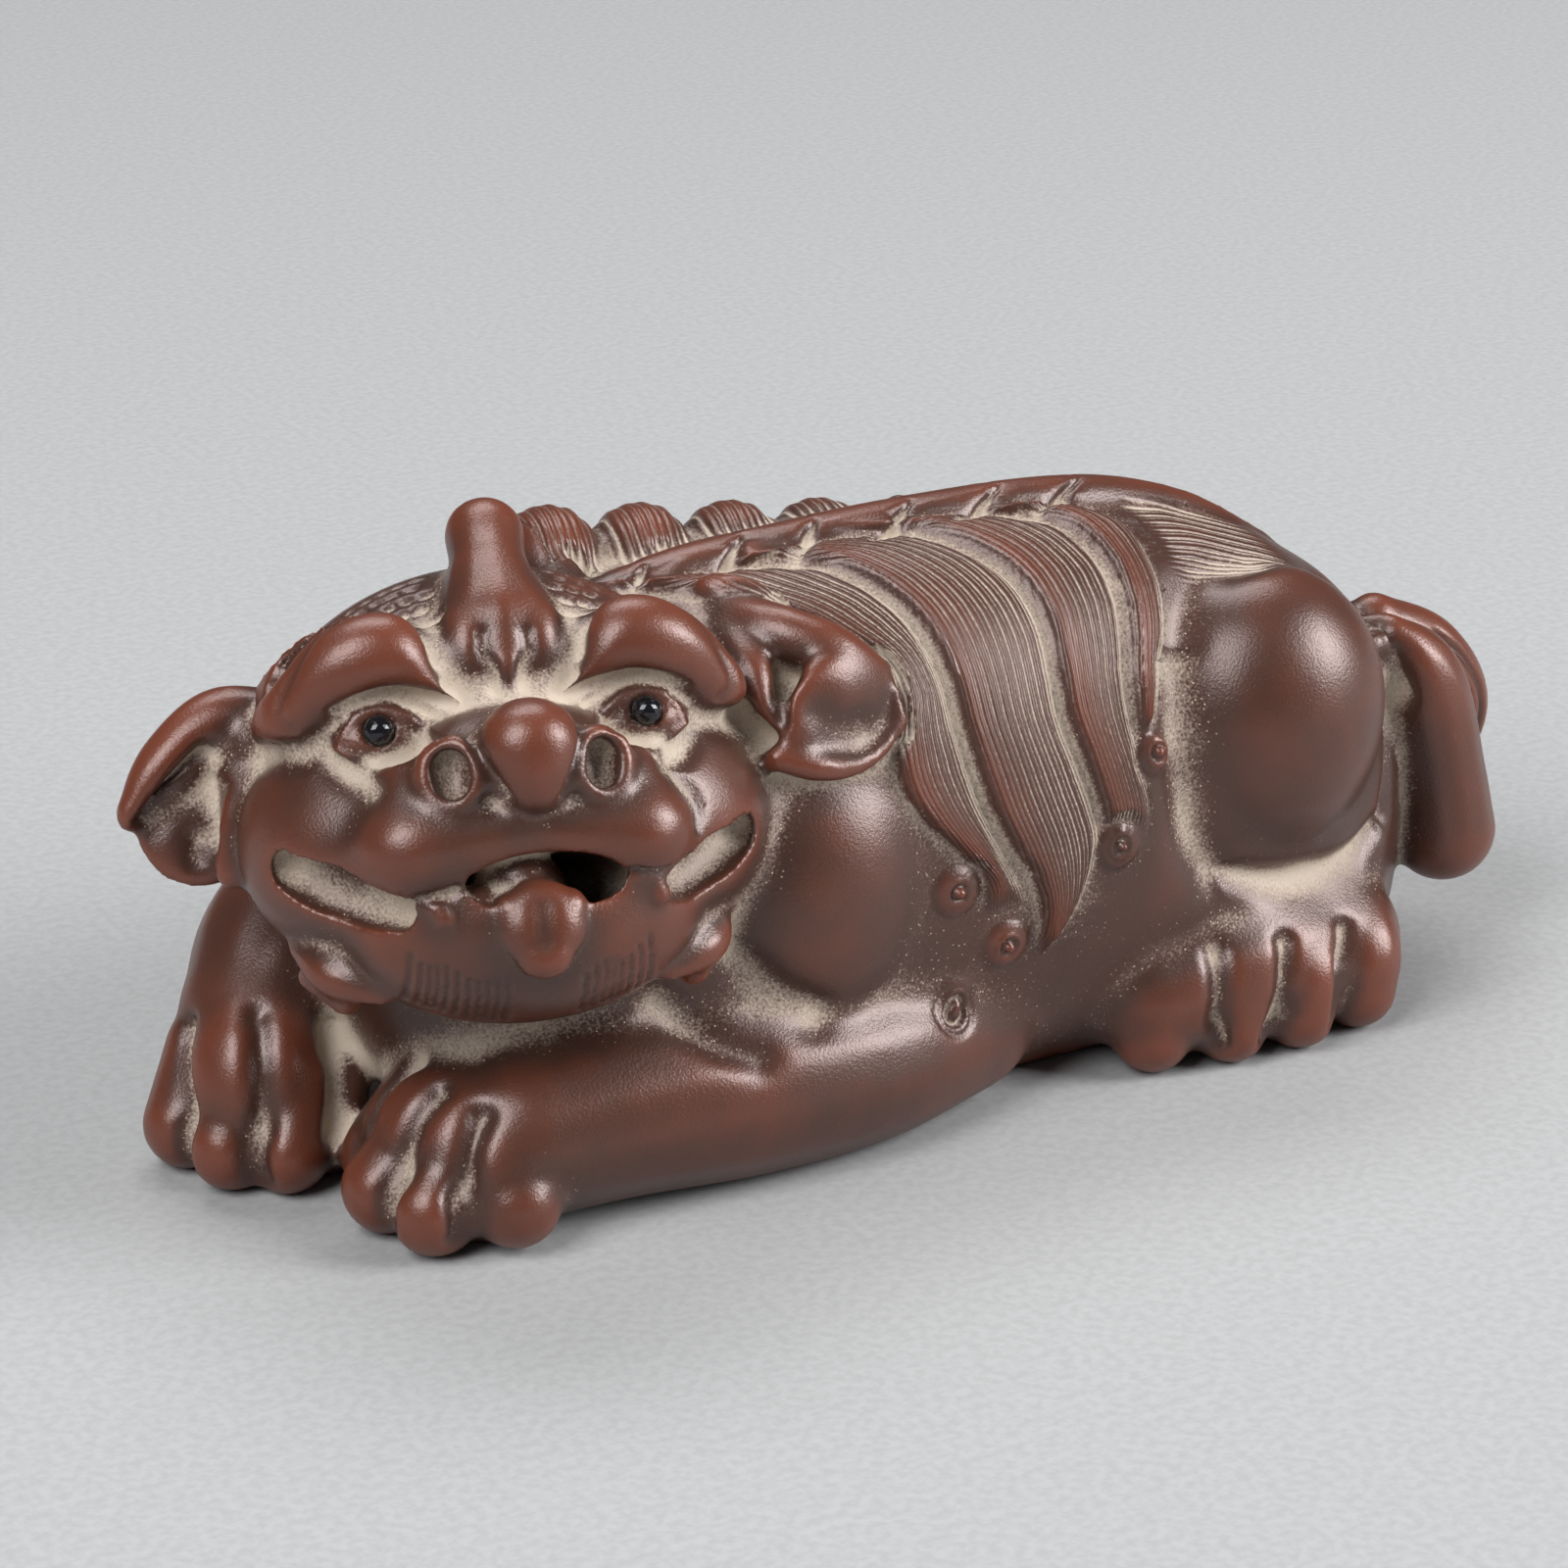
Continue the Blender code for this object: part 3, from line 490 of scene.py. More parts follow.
@dataclass
class Torso:
    """The trunk: a loft of superellipse sections along the spine."""

    half_width: float = 24.0
    back_height: float = 56.5
    power: float = 2.4
    middle_share: float = 0.47
    haunch_radii: tuple[float, float, float] = (14.0, 12.4, 16.0)
    shoulder_radii: tuple[float, float, float] = (13.5, 10.2, 16.6)
    # Sections along the spine: place along X, and shares of the half width and of the back's height.
    stations: tuple[tuple[float, float, float], ...] = (
        (-46.0, 0.30, 0.62),
        (-42.0, 0.62, 0.78),
        (-34.0, 0.84, 0.92),
        (-22.0, 0.96, 0.985),
        (-8.0, 1.0, 1.0),
        (10.0, 1.0, 1.01),
        (26.0, 0.99, 1.0),
        (40.0, 0.97, 0.965),
        (52.0, 0.90, 0.885),
        (61.0, 0.74, 0.78),
        (67.0, 0.50, 0.66),
        (70.0, 0.22, 0.52),
    )

    def sections(self, x: Any) -> tuple[Any, Any, Any]:
        """Measures the trunk's section.

        Args:
            x: One place along the spine, or many.

        Returns:
            The half width there, the height of its widest line, and the rise from there to the back.
        """
        xs, widths, tops = (np.array(column) for column in zip(*self.stations))
        top = np.interp(x, xs, tops) * self.back_height
        half_width = np.interp(x, xs, widths) * self.half_width
        return half_width, self.middle_share * top, (1 - self.middle_share) * top

    def point(self, x: float, degrees: float, side: int = -1, lift: float = 0.0) -> Vector:
        """A point of the trunk.

        Args:
            x: Its place along the spine.
            degrees: Its angle above the flank's widest line.
            side: -1 for the left flank, 1 for the right.
            lift: How far it is raised off the trunk.

        Returns:
            The point.
        """
        half_width, middle, rise = self.sections(x)
        c, s = math.cos(math.radians(degrees)), math.sin(math.radians(degrees))
        y = (half_width + lift) * math.copysign(abs(c) ** (2 / self.power), c)
        z = (rise + lift) * math.copysign(abs(s) ** (2 / self.power), s)
        return Vector((x, side * y, middle + z))

    def angles(self, places: np.ndarray) -> tuple[np.ndarray, np.ndarray]:
        """Finds where places lie round the trunk.

        Args:
            places: The places, one a row.

        Returns:
            Each one's angle above the flank's widest line, and its share of the trunk's radius.
        """
        half_width, middle, rise = self.sections(places[:, 0])
        across = (np.abs(places[:, 1]) / half_width) ** (self.power / 2)
        up = (places[:, 2] - middle) / rise
        up = np.sign(up) * np.abs(up) ** (self.power / 2)
        return np.degrees(np.arctan2(up, across)), (across**2 + up**2) ** (1 / self.power)

    def mesh(self, sides: int = 48, rings: int = 60) -> Mesh:
        """Lofts the trunk.

        Args:
            sides: Points round each section.
            rings: Sections along the spine.

        Returns:
            The closed loft.
        """
        bm = bmesh.new()
        loops = []
        for x in np.linspace(self.stations[0][0], self.stations[-1][0], rings):
            loops.append([bm.verts.new(self.point(x, 360 * k / sides)) for k in range(sides)])
        for a, b in zip(loops, loops[1:]):
            for k in range(sides):
                bm.faces.new((a[k], a[(k + 1) % sides], b[(k + 1) % sides], b[k]))
        bm.faces.new(loops[0][::-1])
        bm.faces.new(loops[-1])
        bmesh.ops.recalc_face_normals(bm, faces=bm.faces)
        return mesh_of(bm, "torso")

    def masses(self) -> Mesh:
        """Lays on haunches, shoulders, limbs and neck.

        Returns:
            The soft forms of the body.
        """
        clay = Clay()
        for side in (-1, 1):
            haunch, shoulder = (45, side * 15, 34.6), (-10, side * 16.4, 27)
            clay.lump(haunch, self.haunch_radii, (side * -5, 4, 0))
            clay.lump(shoulder, self.shoulder_radii, (0, 12, 0))
            hind_foot = [(30.5, side * 18.4, 7.5), (41, side * 18.6, 8.5), (54, side * 17, 8.0)]
            clay.roll(hind_foot, [7.0, 8.6, 8.0])
            clay.lump((43, side * 13, 13), (19, 10, 6.4))
        left_forearm = [(9, -14.6, 8.5), (-4, -18.2, 8.8), (-18, -19.2, 9.4), (-32, -18.6, 9.8),
                        (-42, -18.5, 9.2)]
        clay.roll(left_forearm, [8.6, 9.5, 9.8, 9.5, 8.8])
        clay.lump((-47, -16, 7.5), (8.5, 11.5, 9.0), (0, 0, 20))
        right_forearm = [(-14, 16, 22), (-36, 17, 20), (-49, 14.5, 18), (-56, 10, 13)]
        clay.roll(right_forearm, [12, 12, 11, 9])
        clay.lump((-59, 5, 8.5), (8.0, 8.5, 10.5), (0, 0, -35))
        clay.lump((-38, 0, 22), (14, 17, 20))
        neck = [(-18, 2, 36), (-34, -4, 38)]
        clay.roll(neck, [20, 18])
        return clay.mesh()

    def creases(self, tool: Tool) -> None:
        """Scores the folds between shoulder and foreleg, and the grooves round the haunches.

        Args:
            tool: What the lines are added to.
        """
        tool.line([(-24, -22, 28), (-21.9, -22.9, 25.7), (-16.8, -23.4, 21.2), (-13.5, -25.5, 18)], 2.2, 0.9)
        tool.line([(-29, -22, 21), (-24.4, -25.2, 17.3), (-20.5, -26.5, 15)], 1.9, 0.8)
        round_haunch = (
            ([(31.5, 21, 44), (31, 22, 37), (32, 22, 27), (35, 23, 21.5)], 2.8, 1.5),
            ([(31, 21, 43), (33.5, 18.5, 48.5), (38.5, 15.5, 52), (46, 13, 53.2)], 2.2, 0.8),
            ([(34, 23, 22), (44, 24, 18.6), (55, 23, 18.2), (60, 20, 20)], 1.8, 1.5),
            ([(61, 18, 21), (63, 16, 30), (62.5, 15, 40), (60, 12, 47)], 1.9, 1.5),
        )
        for side in (-1, 1):
            for line, width, depth in round_haunch:
                tool.line([(x, side * y, z) for x, y, z in line], width, depth)


@dataclass
class Head:
    """The head, turned to the left and lifted, with its face, horn and mouth."""

    at: tuple[float, float, float] = (-38.8, -7.6, 39.0)
    turn: float = 18.2
    tilt: float = 26.6
    skull_half_width: float = 23.0
    eye_side: float = 12.6
    eye_forward: float = 17.4
    eye_up: float = 6.2
    bead_radius: float = 1.45
    bead_gap: float = 0.08
    nose_forward: float = 28.6
    nose_radius: float = 4.6
    nostril_rim: float = 1.2
    tongue_width: float = 9.0
    brow_height: float = 2.1
    brow_edge: float = 4.6
    eye_depth: float = 1.3
    scale_pitch: float = 1.9
    scale_radius: float = 0.62
    beard_cuts: int = 26
    beard_pitch: float = 0.85

    # Outlines and lines of the right half of the face, as (side, up).
    BROW_TOP = ((21.2, 5.9), (22.8, 7.4), (22.6, 9.6), (20.9, 11.6), (18.6, 13.8), (16.2, 15.6), (13.6, 16.5),
                (11.2, 16.6), (9.0, 15.8), (7.8, 14.0), (7.2, 12.0))
    BROW_FOOT = ((5.9, 10.0), (4.4, 8.2), (7.2, 8.9), (9.6, 9.8), (11.8, 10.1), (13.9, 9.5), (15.6, 8.3),
                 (17.4, 6.7), (19.2, 5.6))
    UPPER_LID = ((16.9, 4.9), (15.8, 6.7), (14.4, 7.7), (12.4, 8.1), (10.5, 7.6), (8.9, 6.4), (7.4, 5.0))
    LOWER_LID = ((16.9, 4.9), (15.4, 3.8), (13.8, 3.1), (12.0, 2.9), (10.4, 3.2), (8.9, 3.9), (7.4, 5.0))
    FOLD = ((17.8, 5.6), (16.2, 8.3), (13.8, 9.4), (11.6, 9.4), (9.2, 8.5), (6.8, 7.2))
    EYEBALL = ((12.1, -13.8, 5.4), (5.4, 3.8, 3.3))
    UPPER_LID_RADII = (0.5, 0.7, 0.8, 0.85, 0.8, 0.65, 0.4)
    LOWER_LID_RADII = (0.5, 0.55, 0.6, 0.6, 0.6, 0.5, 0.4)

    def matrix(self) -> Matrix:
        """Places the head.

        Returns:
            The matrix from head coordinates to the figure's.
        """
        turn = Matrix.Rotation(math.radians(-self.turn), 4, "Z")
        tilt = Matrix.Rotation(math.radians(-self.tilt), 4, "X")
        return Matrix.Translation(self.at) @ turn @ tilt

    def masses(self) -> Mesh:
        """Lays on skull, jowls, muzzle and jaw.

        Returns:
            The soft forms of the head.
        """
        clay = Clay(self.matrix())
        clay.lump((0, 0, 4), (self.skull_half_width, 18, 19))
        clay.lump((9.8, -4, -3), (15.7, 15, 13), both=True)
        clay.lump((0, -10, -11), (17.5, 11.8, 10.8))
        clay.lump((0, -14.0, -2.0), (14, 8, 8.5))
        clay.lump((9.5, -8.5, 3), (12.5, 8.4, 10), both=True)
        clay.roll([(6, -13.4, 11.4), (12.5, -13.8, 12.6), (18.6, -10.2, 9.8)], [3.4, 4.6, 3.9], both=True)
        clay.roll([(14.4, -16.0, -5.2), (11.0, -18.9, -5.0), (6.4, -20.2, -4.6), (0, -21.0, -4.0)],
                  [3.2, 5.0, 4.0, 3.2], both=True)
        clay.lump((8.2, -16.6, -0.8), (6.8, 5.8, 5.6), both=True)
        clay.lump((0, -16.0, 2.2), (8.5, 6.4, 6.0))
        return clay.mesh()

    def forms(self) -> Mesh:
        """Lays on nose, rims of the nostrils, muzzle, horn and jaw curls.

        Returns:
            The forms.
        """
        clay = Clay(self.matrix())
        self._nose(clay)
        self._horn(clay)
        clay.roll([(20.4, -5, -12.6), (17.6, -8.6, -15.6), (13.6, -11.0, -18.0)], [1.2, 2.3, 1.1], both=True)
        clay.roll([(19.6, -4, -15.4), (16.6, -6.6, -18.0)], [1.3, 1.6], both=True)
        return clay.mesh()

    def _nose(self, clay: Clay) -> None:
        """Lays on the muzzle's bridge, the ball of the nose and the rims of the nostrils.

        Args:
            clay: The batch that the forms are added to.
        """
        clay.lump((0, -16.6, 1.6), (10.9, 7.2, 6.5))
        nose, front = self.nose_radius, self.nose_radius - self.nose_forward
        clay.lump((0.4, front, 3.2), (nose + 0.2, nose, nose - 0.1))
        clay.roll([(0.5, front, 1.8), (0.6, front, 0.3)], [nose - 0.3, nose - 1.1])
        rim = [(6.9 + 2.3 * math.cos(t), -23.2 + 0.9 * math.cos(t), 1.2 + 2.7 * math.sin(t))
               for t in np.linspace(0.6 * math.pi, 2.6 * math.pi, 11)]
        clay.roll(rim, self.nostril_rim, both=True)
        clay.lump((6.8, -20.4, 0.8), (3.6, 2.3, 3.8), both=True)

    @staticmethod
    def _horn(clay: Clay) -> None:
        """Lays on the horn and the three lobes at its foot.

        Args:
            clay: The batch that the forms are added to.
        """
        horn = [(0, -11.6, 13.0), (0, -11.2, 16.0), (0, -9.9, 19.6), (0.2, -8.1, 22.2), (0.4, -5.9, 25.0)]
        clay.roll(horn, [6.3, 6.2, 4.6, 3.8, 3.9])
        clay.lump((3.1, -13.2, 13.2), (3.3, 4.4, 5.4), both=True)
        clay.lump((-0.1, -14.4, 11.6), (2.3, 3.8, 3.2))

    def pads(self, tool: Tool) -> None:
        """Raises the brows off the forehead and sinks the almonds of the eyes.

        Args:
            tool: What the pads are added to.
        """
        tool.frame = self.matrix()
        tool.pad([*self.BROW_TOP, *self.BROW_FOOT], self.brow_height, self.brow_edge, both=True)
        tool.pad([*self.UPPER_LID, *self.LOWER_LID[-2:0:-1]], -self.eye_depth, 2.0, both=True)

    def mouth_cutter(self, voxel: float) -> Mesh:
        """Shapes what is cut out of the mouth: the opening round the tongue and the corners' pockets.

        Args:
            voxel: How fine the cutter is.

        Returns:
            The cutter.
        """
        clay = Clay(self.matrix())
        clay.lump((1.3, -15, -9.2), (8.4, 14, 3.1))
        for side, start in ((-1, (12.2, -18.0, -10.6)), (1, (14.0, -17.4, -10.0))):
            points = [start, (15.9, -16.0, -9.3), (18.8, -13.8, -7.5), (21.0, -11.8, -5.6)]
            clay.roll([(side * x, y, z) for x, y, z in points], [2.0, 2.8, 2.8, 2.3])
        return pressed_together([clay.mesh()], voxel, 2)

    def fine_forms(self) -> Mesh:
        """Lays on eyeballs, lids, tongue and fangs.

        Returns:
            The forms.
        """
        clay = Clay(self.matrix())
        centre, radii = self.EYEBALL
        clay.lump(centre, radii, both=True)
        lids = ((self.UPPER_LID, self.UPPER_LID_RADII), (self.LOWER_LID, self.LOWER_LID_RADII))
        for lid, lid_radii in lids:
            clay.roll([self._on_eyeball(x, z) for x, z in lid], lid_radii, both=True)
        self._tongue(clay)
        clay.roll([(-9.6, -19.4, -9.4), (-8.3, -19.8, -11.8)], [1.5, 1.2])
        clay.roll([(10.6, -19.0, -8.4), (12.0, -18.4, -11.0)], [1.5, 1.2])
        return clay.mesh()

    def _tongue(self, clay: Clay) -> None:
        """Lays on the tongue's root, its edge and the shield that hangs over the lip.

        Args:
            clay: The batch that the forms are added to.
        """
        clay.lump((-0.6, -13.5, -9.8), (4.6, 7.4, 3.6), (-16, 0, 0))
        clay.lump((-4.6, -16.0, -11.6), (3.4, 4.6, 3.0), (-10, 0, 0))
        half = self.tongue_width / 2
        clay.roll([(2.4 - half, -20.4, -11.7), (half - 1.4, -20.4, -11.7)], 1.9)
        clay.lump((0.5, -20.6, -13.0), (half - 0.2, 2.4, 4.1))
        clay.lump((0.5, -20.6, -15.3), (2.9, 2.2, 2.9))

    def _on_eyeball(self, x: float, z: float) -> tuple[float, float, float]:
        """Lays a point on the front of the eyeball.

        Args:
            x: How far it is to the side.
            z: How high it is.

        Returns:
            The point.
        """
        (cx, cy, cz), (a, b, c) = self.EYEBALL
        room = 1 - ((x - cx) / (a + 0.3)) ** 2 - ((z - cz) / (c + 0.3)) ** 2
        return (x, cy - b * math.sqrt(max(room, 0.04)), z)

    def lines(self, tool: Tool) -> None:
        """Scores every line of the head.

        Args:
            tool: What the lines are added to.
        """
        tool.frame = self.matrix()
        self._face_lines(tool)
        self._mouth_lines(tool)
        self._whorls(tool)
        self._scales(tool)
        self._beard(tool)

    def _face_lines(self, tool: Tool) -> None:
        """Scores folds round the eyes and over the cheeks, nostrils and the horn's lobes.

        Args:
            tool: What the lines are added to.
        """
        tool.line([(x, -17, z) for x, z in self.FOLD], 0.5, 0.5, both=True)
        tool.line([(x, -17, z) for x, z in self.BROW_FOOT], 0.8, 0.6, both=True)
        tool.line([(x, -16, z) for x, z in self.BROW_TOP], 0.8, 0.4, both=True)
        tool.line([(x, -17, z - 2.2) for x, z in self.LOWER_LID], 0.7, 0.4, both=True)
        over_cheek = [(24, -2, 5.6), (22.2, -6, 5.4), (19.9, -11.3, 5.1), (17.6, -14, 4.6), (16.3, -16, 3.0),
                      (14.4, -17.4, 1.4), (12.8, -18.2, 0.0)]
        tool.line(over_cheek, 1.6, 0.7, both=True)
        beside_muzzle = [(12.4, -18.2, 1.2), (14.4, -17.8, -0.8), (15.6, -17.2, -2.9), (15.6, -17.8, -5.0)]
        tool.line(beside_muzzle, 1.1, 0.7)
        beside_nose = [(5.0, -23.5, 5.4), (4.5, -25, 2.8), (3.6, -25.5, 0.4), (2.7, -25, -1.8)]
        tool.line(beside_nose, 0.6, 0.7, both=True)
        tool.line([(7.0, -22.5, 2.4), (6.7, -23, -0.2)], 1.5, 1.5, both=True)
        tool.line([(-2.2, -18, 14.6), (-2.3, -19, 12.0), (-1.5, -18, 9.4)], 0.7, 0.45)
        tool.line([(2.0, -18, 14.4), (2.1, -19, 12.0), (1.4, -18, 9.4)], 0.7, 0.45)

    @staticmethod
    def _mouth_lines(tool: Tool) -> None:
        """Scores the mouth's edges and the dip of the tongue.

        Args:
            tool: What the lines are added to.
        """
        tool.line([(-12.5, -19, -8.9), (-9, -20, -9.6), (-5.5, -21, -8.4)], 0.5, 0.7)
        tool.line([(9.2, -21, -8.2), (12, -20, -8.6), (14.5, -18.6, -7.4)], 0.5, 0.7)
        tool.line([(0.5, -23.4, -11.6), (0.5, -23.2, -15.0)], 1.2, 0.45)

    @staticmethod
    def _whorls(tool: Tool) -> None:
        """Scores a whorl at each temple.

        Args:
            tool: What the lines are added to.
        """
        for side in (-1, 1):
            tool.ring((side * 20.4, -9.4, 13.4), (side * 0.9, 1.5, 0.2), (side * 0.6, 0.3, -2.9), 0.5, 0.8)
            tool.line([(side * 20.4, -9.6, 14.6), (side * 20.6, -9.4, 12.0)], 0.45, 0.6)

    def _scales(self, tool: Tool) -> None:
        """Scores small curled scales on the forehead, on both sides of the horn.

        Args:
            tool: What the lines are added to.
        """
        radius = self.scale_radius
        for row in range(5):
            for k in range(8):
                x = 6.6 + self.scale_pitch * (k + 0.5 * (row % 2))
                z = 17.6 + 1.35 * row - 0.028 * (x - 8) ** 2
                if x > 20.5 - 0.6 * row:
                    continue
                start = 1.4 * math.sin(12.9 * k + 7.3 * row)
                y = -14 + 2.2 * row
                points = [(x + radius * math.cos(t), y, z + 0.8 * radius * math.sin(t))
                          for t in np.linspace(start, start + 4.2, 6)]
                tool.line(points, 0.36, 0.55, both=True)

    def _beard(self, tool: Tool) -> None:
        """Scores short upright cuts along the underside of the jaw.

        Args:
            tool: What the lines are added to.
        """
        for k in range(self.beard_cuts):
            x = -11 + self.beard_pitch * k
            if -2.5 < x < 3.5:
                continue
            top = -16.9 + 0.02 * x * x + 0.5 * math.sin(5.1 * k)
            tool.line([(x, -17, top), (x + 0.1, -15, top - 1.5), (x, -12, top - 2.8)], 0.26, 0.35)

    def set_beads(self, places: np.ndarray) -> np.ndarray:
        """Makes room for the eye beads.

        Args:
            places: The skin's vertices, one a row.

        Returns:
            The places, with those in a bead's seat moved back behind it.
        """
        to_head = np.array(self.matrix().inverted())
        from_head = np.array(self.matrix())
        local = places @ to_head[:3, :3].T + to_head[:3, 3]
        seat = self.bead_radius + self.bead_gap
        for side in (-1, 1):
            dx, dz = local[:, 0] - side * self.eye_side, local[:, 2] - self.eye_up
            room = seat**2 - dx**2 - dz**2
            deep = np.sqrt(np.maximum(room, 0))
            in_seat = (room > 0) & (np.abs(local[:, 1] + self.eye_forward) < deep)
            local[in_seat, 1] = deep[in_seat] - self.eye_forward
        return local @ from_head[:3, :3].T + from_head[:3, 3]


@dataclass
class Ears:
    """The right ear, which droops beside the cheek, and the left one, swept back on the mane."""

    head: Head

    def forms(self) -> list[Mesh]:
        """Lays on both ears.

        Returns:
            The right ear and the left one.
        """
        return [self._right(), self._left()]

    def _right(self) -> Mesh:
        """Lays on the flap, dish and lobe of the drooping ear.

        Returns:
            The ear.
        """
        clay = Clay(self.head.matrix())
        clay.roll([(-21, 2, 10), (-26.0, 2, 9.8), (-31.2, 1.8, 5.8), (-34.4, 2, 1.6)], [3.0, 3.4, 3.0, 1.9])
        clay.lump((-27.5, 3.8, 1.6), (6.8, 1.9, 7.6), (0, 32, 0))
        clay.roll([(-25.0, 0.6, 5.0), (-24.6, -0.6, 0.5), (-25.6, -0.4, -4.6)], [1.4, 2.5, 1.9])
        clay.roll([(-22.6, 0, 8), (-23.4, -0.8, 5), (-23.8, 0, 2.6)], [2.4, 1.9, 0.9])
        return clay.mesh()

    @staticmethod
    def _left() -> Mesh:
        """Lays on the flap, dish and rim of the swept ear.

        Returns:
            The ear.
        """
        clay = Clay()
        flap = [(-14, -8, 53.5), (-12, -14.5, 53.8), (-7.8, -18.6, 52.2), (-3.4, -19.4, 49.6)]
        clay.roll(flap, [2.8, 2.9, 2.8, 1.7])
        fore_edge = [(-15.0, -11, 53), (-15.6, -16.4, 51.6), (-16.0, -19.4, 49.0), (-15.6, -20.8, 47.4)]
        clay.roll(fore_edge, [2.4, 2.1, 1.5, 0.9])
        clay.lump((-8.6, -21.0, 47.2), (7.4, 2.5, 6.2), (0, -20, 14))
        rim = [(-2.4, -20.4, 49.4), (-1.9, -21.8, 46.6), (-3.4, -22.6, 43.8), (-7.4, -23.5, 42.3),
               (-12.2, -24.0, 43.0), (-16.0, -22.6, 44.2)]
        clay.roll(rim, [0.5, 0.6, 0.8, 1.1, 1.5, 1.4])
        return clay.mesh()

    def lines(self, tool: Tool) -> None:
        """Scores the hollows of the ears.

        Args:
            tool: What the lines are added to.
        """
        tool.frame = self.head.matrix()
        tool.line([(-27.0, -2, 5.6), (-29.6, -1.6, 2.6), (-32.6, 0, -0.6)], 1.3, 1.9)
        tool.line([(-27.4, -1, 3.6), (-28.4, 0, 0), (-29, 1, -3.2)], 1.3, 0.7)
        tool.frame = Matrix.Identity(4)
        tool.line([(-13.6, -20.4, 51.6), (-14.2, -21.4, 49.4), (-14.4, -22, 47.6)], 0.9, 0.8)
        tool.line([(-12.0, -23, 48.4), (-10.0, -23.6, 46.6), (-7.0, -23.6, 45.8)], 2.2, 0.8)


@dataclass
class Paws:
    """The toes of the two fore paws and the two hind paws."""

    toe_radius: float = 4.6
    hind_toe_radius: float = 4.3
    groove_depth: float = 1.2

    def forms(self) -> Mesh:
        """Lays on the toes.

        Returns:
            The toes of all four paws.
        """
        clay = Clay()
        near_toes = (
            ((-48, -7, 8.5), (-51.4, -7.2, 4.4)),
            ((-50, -13, 9.5), (-54.6, -14.2, 4.5)),
            ((-48, -18.6, 9.5), (-52.8, -20.8, 4.5)),
            ((-41, -21, 9), (-45.8, -24.0, 5.0)),
        )
        far_toes = (
            ((-62, 11, 11), (-65.4, 8.6, 4.4)),
            ((-61, 4.6, 11), (-63.6, 2.0, 4.4)),
            ((-57, 1.4, 10.5), (-59.4, -1.4, 4.4)),
            ((-52.6, 3, 9), (-54.4, 0.8, 4.4)),
        )
        for toe in near_toes + far_toes:
            clay.roll(toe, [4.2, self.toe_radius])
        for side in (-1, 1):
            for x, y in zip((29.4, 37.8, 46.0, 54.2), (20.8, 22.8, 23.4, 22.2)):
                toe = [(x + 1.4, side * (y - 3.4), 10.5), (x + 0.6, side * (y - 0.6), 8), (x, side * y, 4.2)]
                clay.roll(toe, [4.4, 4.6, self.hind_toe_radius])
        return clay.mesh()

    def lines(self, tool: Tool) -> None:
        """Scores the broad, dusty grooves between the toes.

        Args:
            tool: What the lines are added to.
        """
        tool.frame = Matrix.Identity(4)
        near = (
            ((-49.6, -11.4, 15.2), (-52.4, -10.6, 13.2), (-55.1, -11.0, 10), (-56, -11, 4)),
            ((-50.4, -17.6, 14.8), (-53.6, -18.2, 13), (-56.2, -18.8, 10), (-57.6, -19.2, 4)),
            ((-48.4, -22.3, 13.6), (-50.6, -24.0, 11.4), (-52.0, -25.4, 8), (-52.4, -26, 3)),
        )
        far = (
            ((-64.2, 9, 14.3), (-65.6, 6.4, 11.2), (-67, 4.2, 8), (-67.4, 3.8, 3)),
            ((-59.9, 3.2, 15.4), (-61.4, -0.6, 12), (-62, -2, 8), (-62.2, -2.6, 3)),
            ((-53.4, 2.0, 14.6), (-53.8, -0.6, 11.6), (-55, -2.6, 6)),
        )
        for groove, width in zip(near + far, (1.1, 1.4, 1.4, 1.2, 1.6, 1.4)):
            tool.line(groove, width, self.groove_depth)
        for side in (-1, 1):
            for x, y in ((33.6, 27), (41.4, 28), (50.0, 28)):
                groove = [(x + 1.2, side * (y - 3), 12.8), (x + 0.4, side * y, 9), (x, side * y, 3)]
                tool.line(groove, 1.2, self.groove_depth)


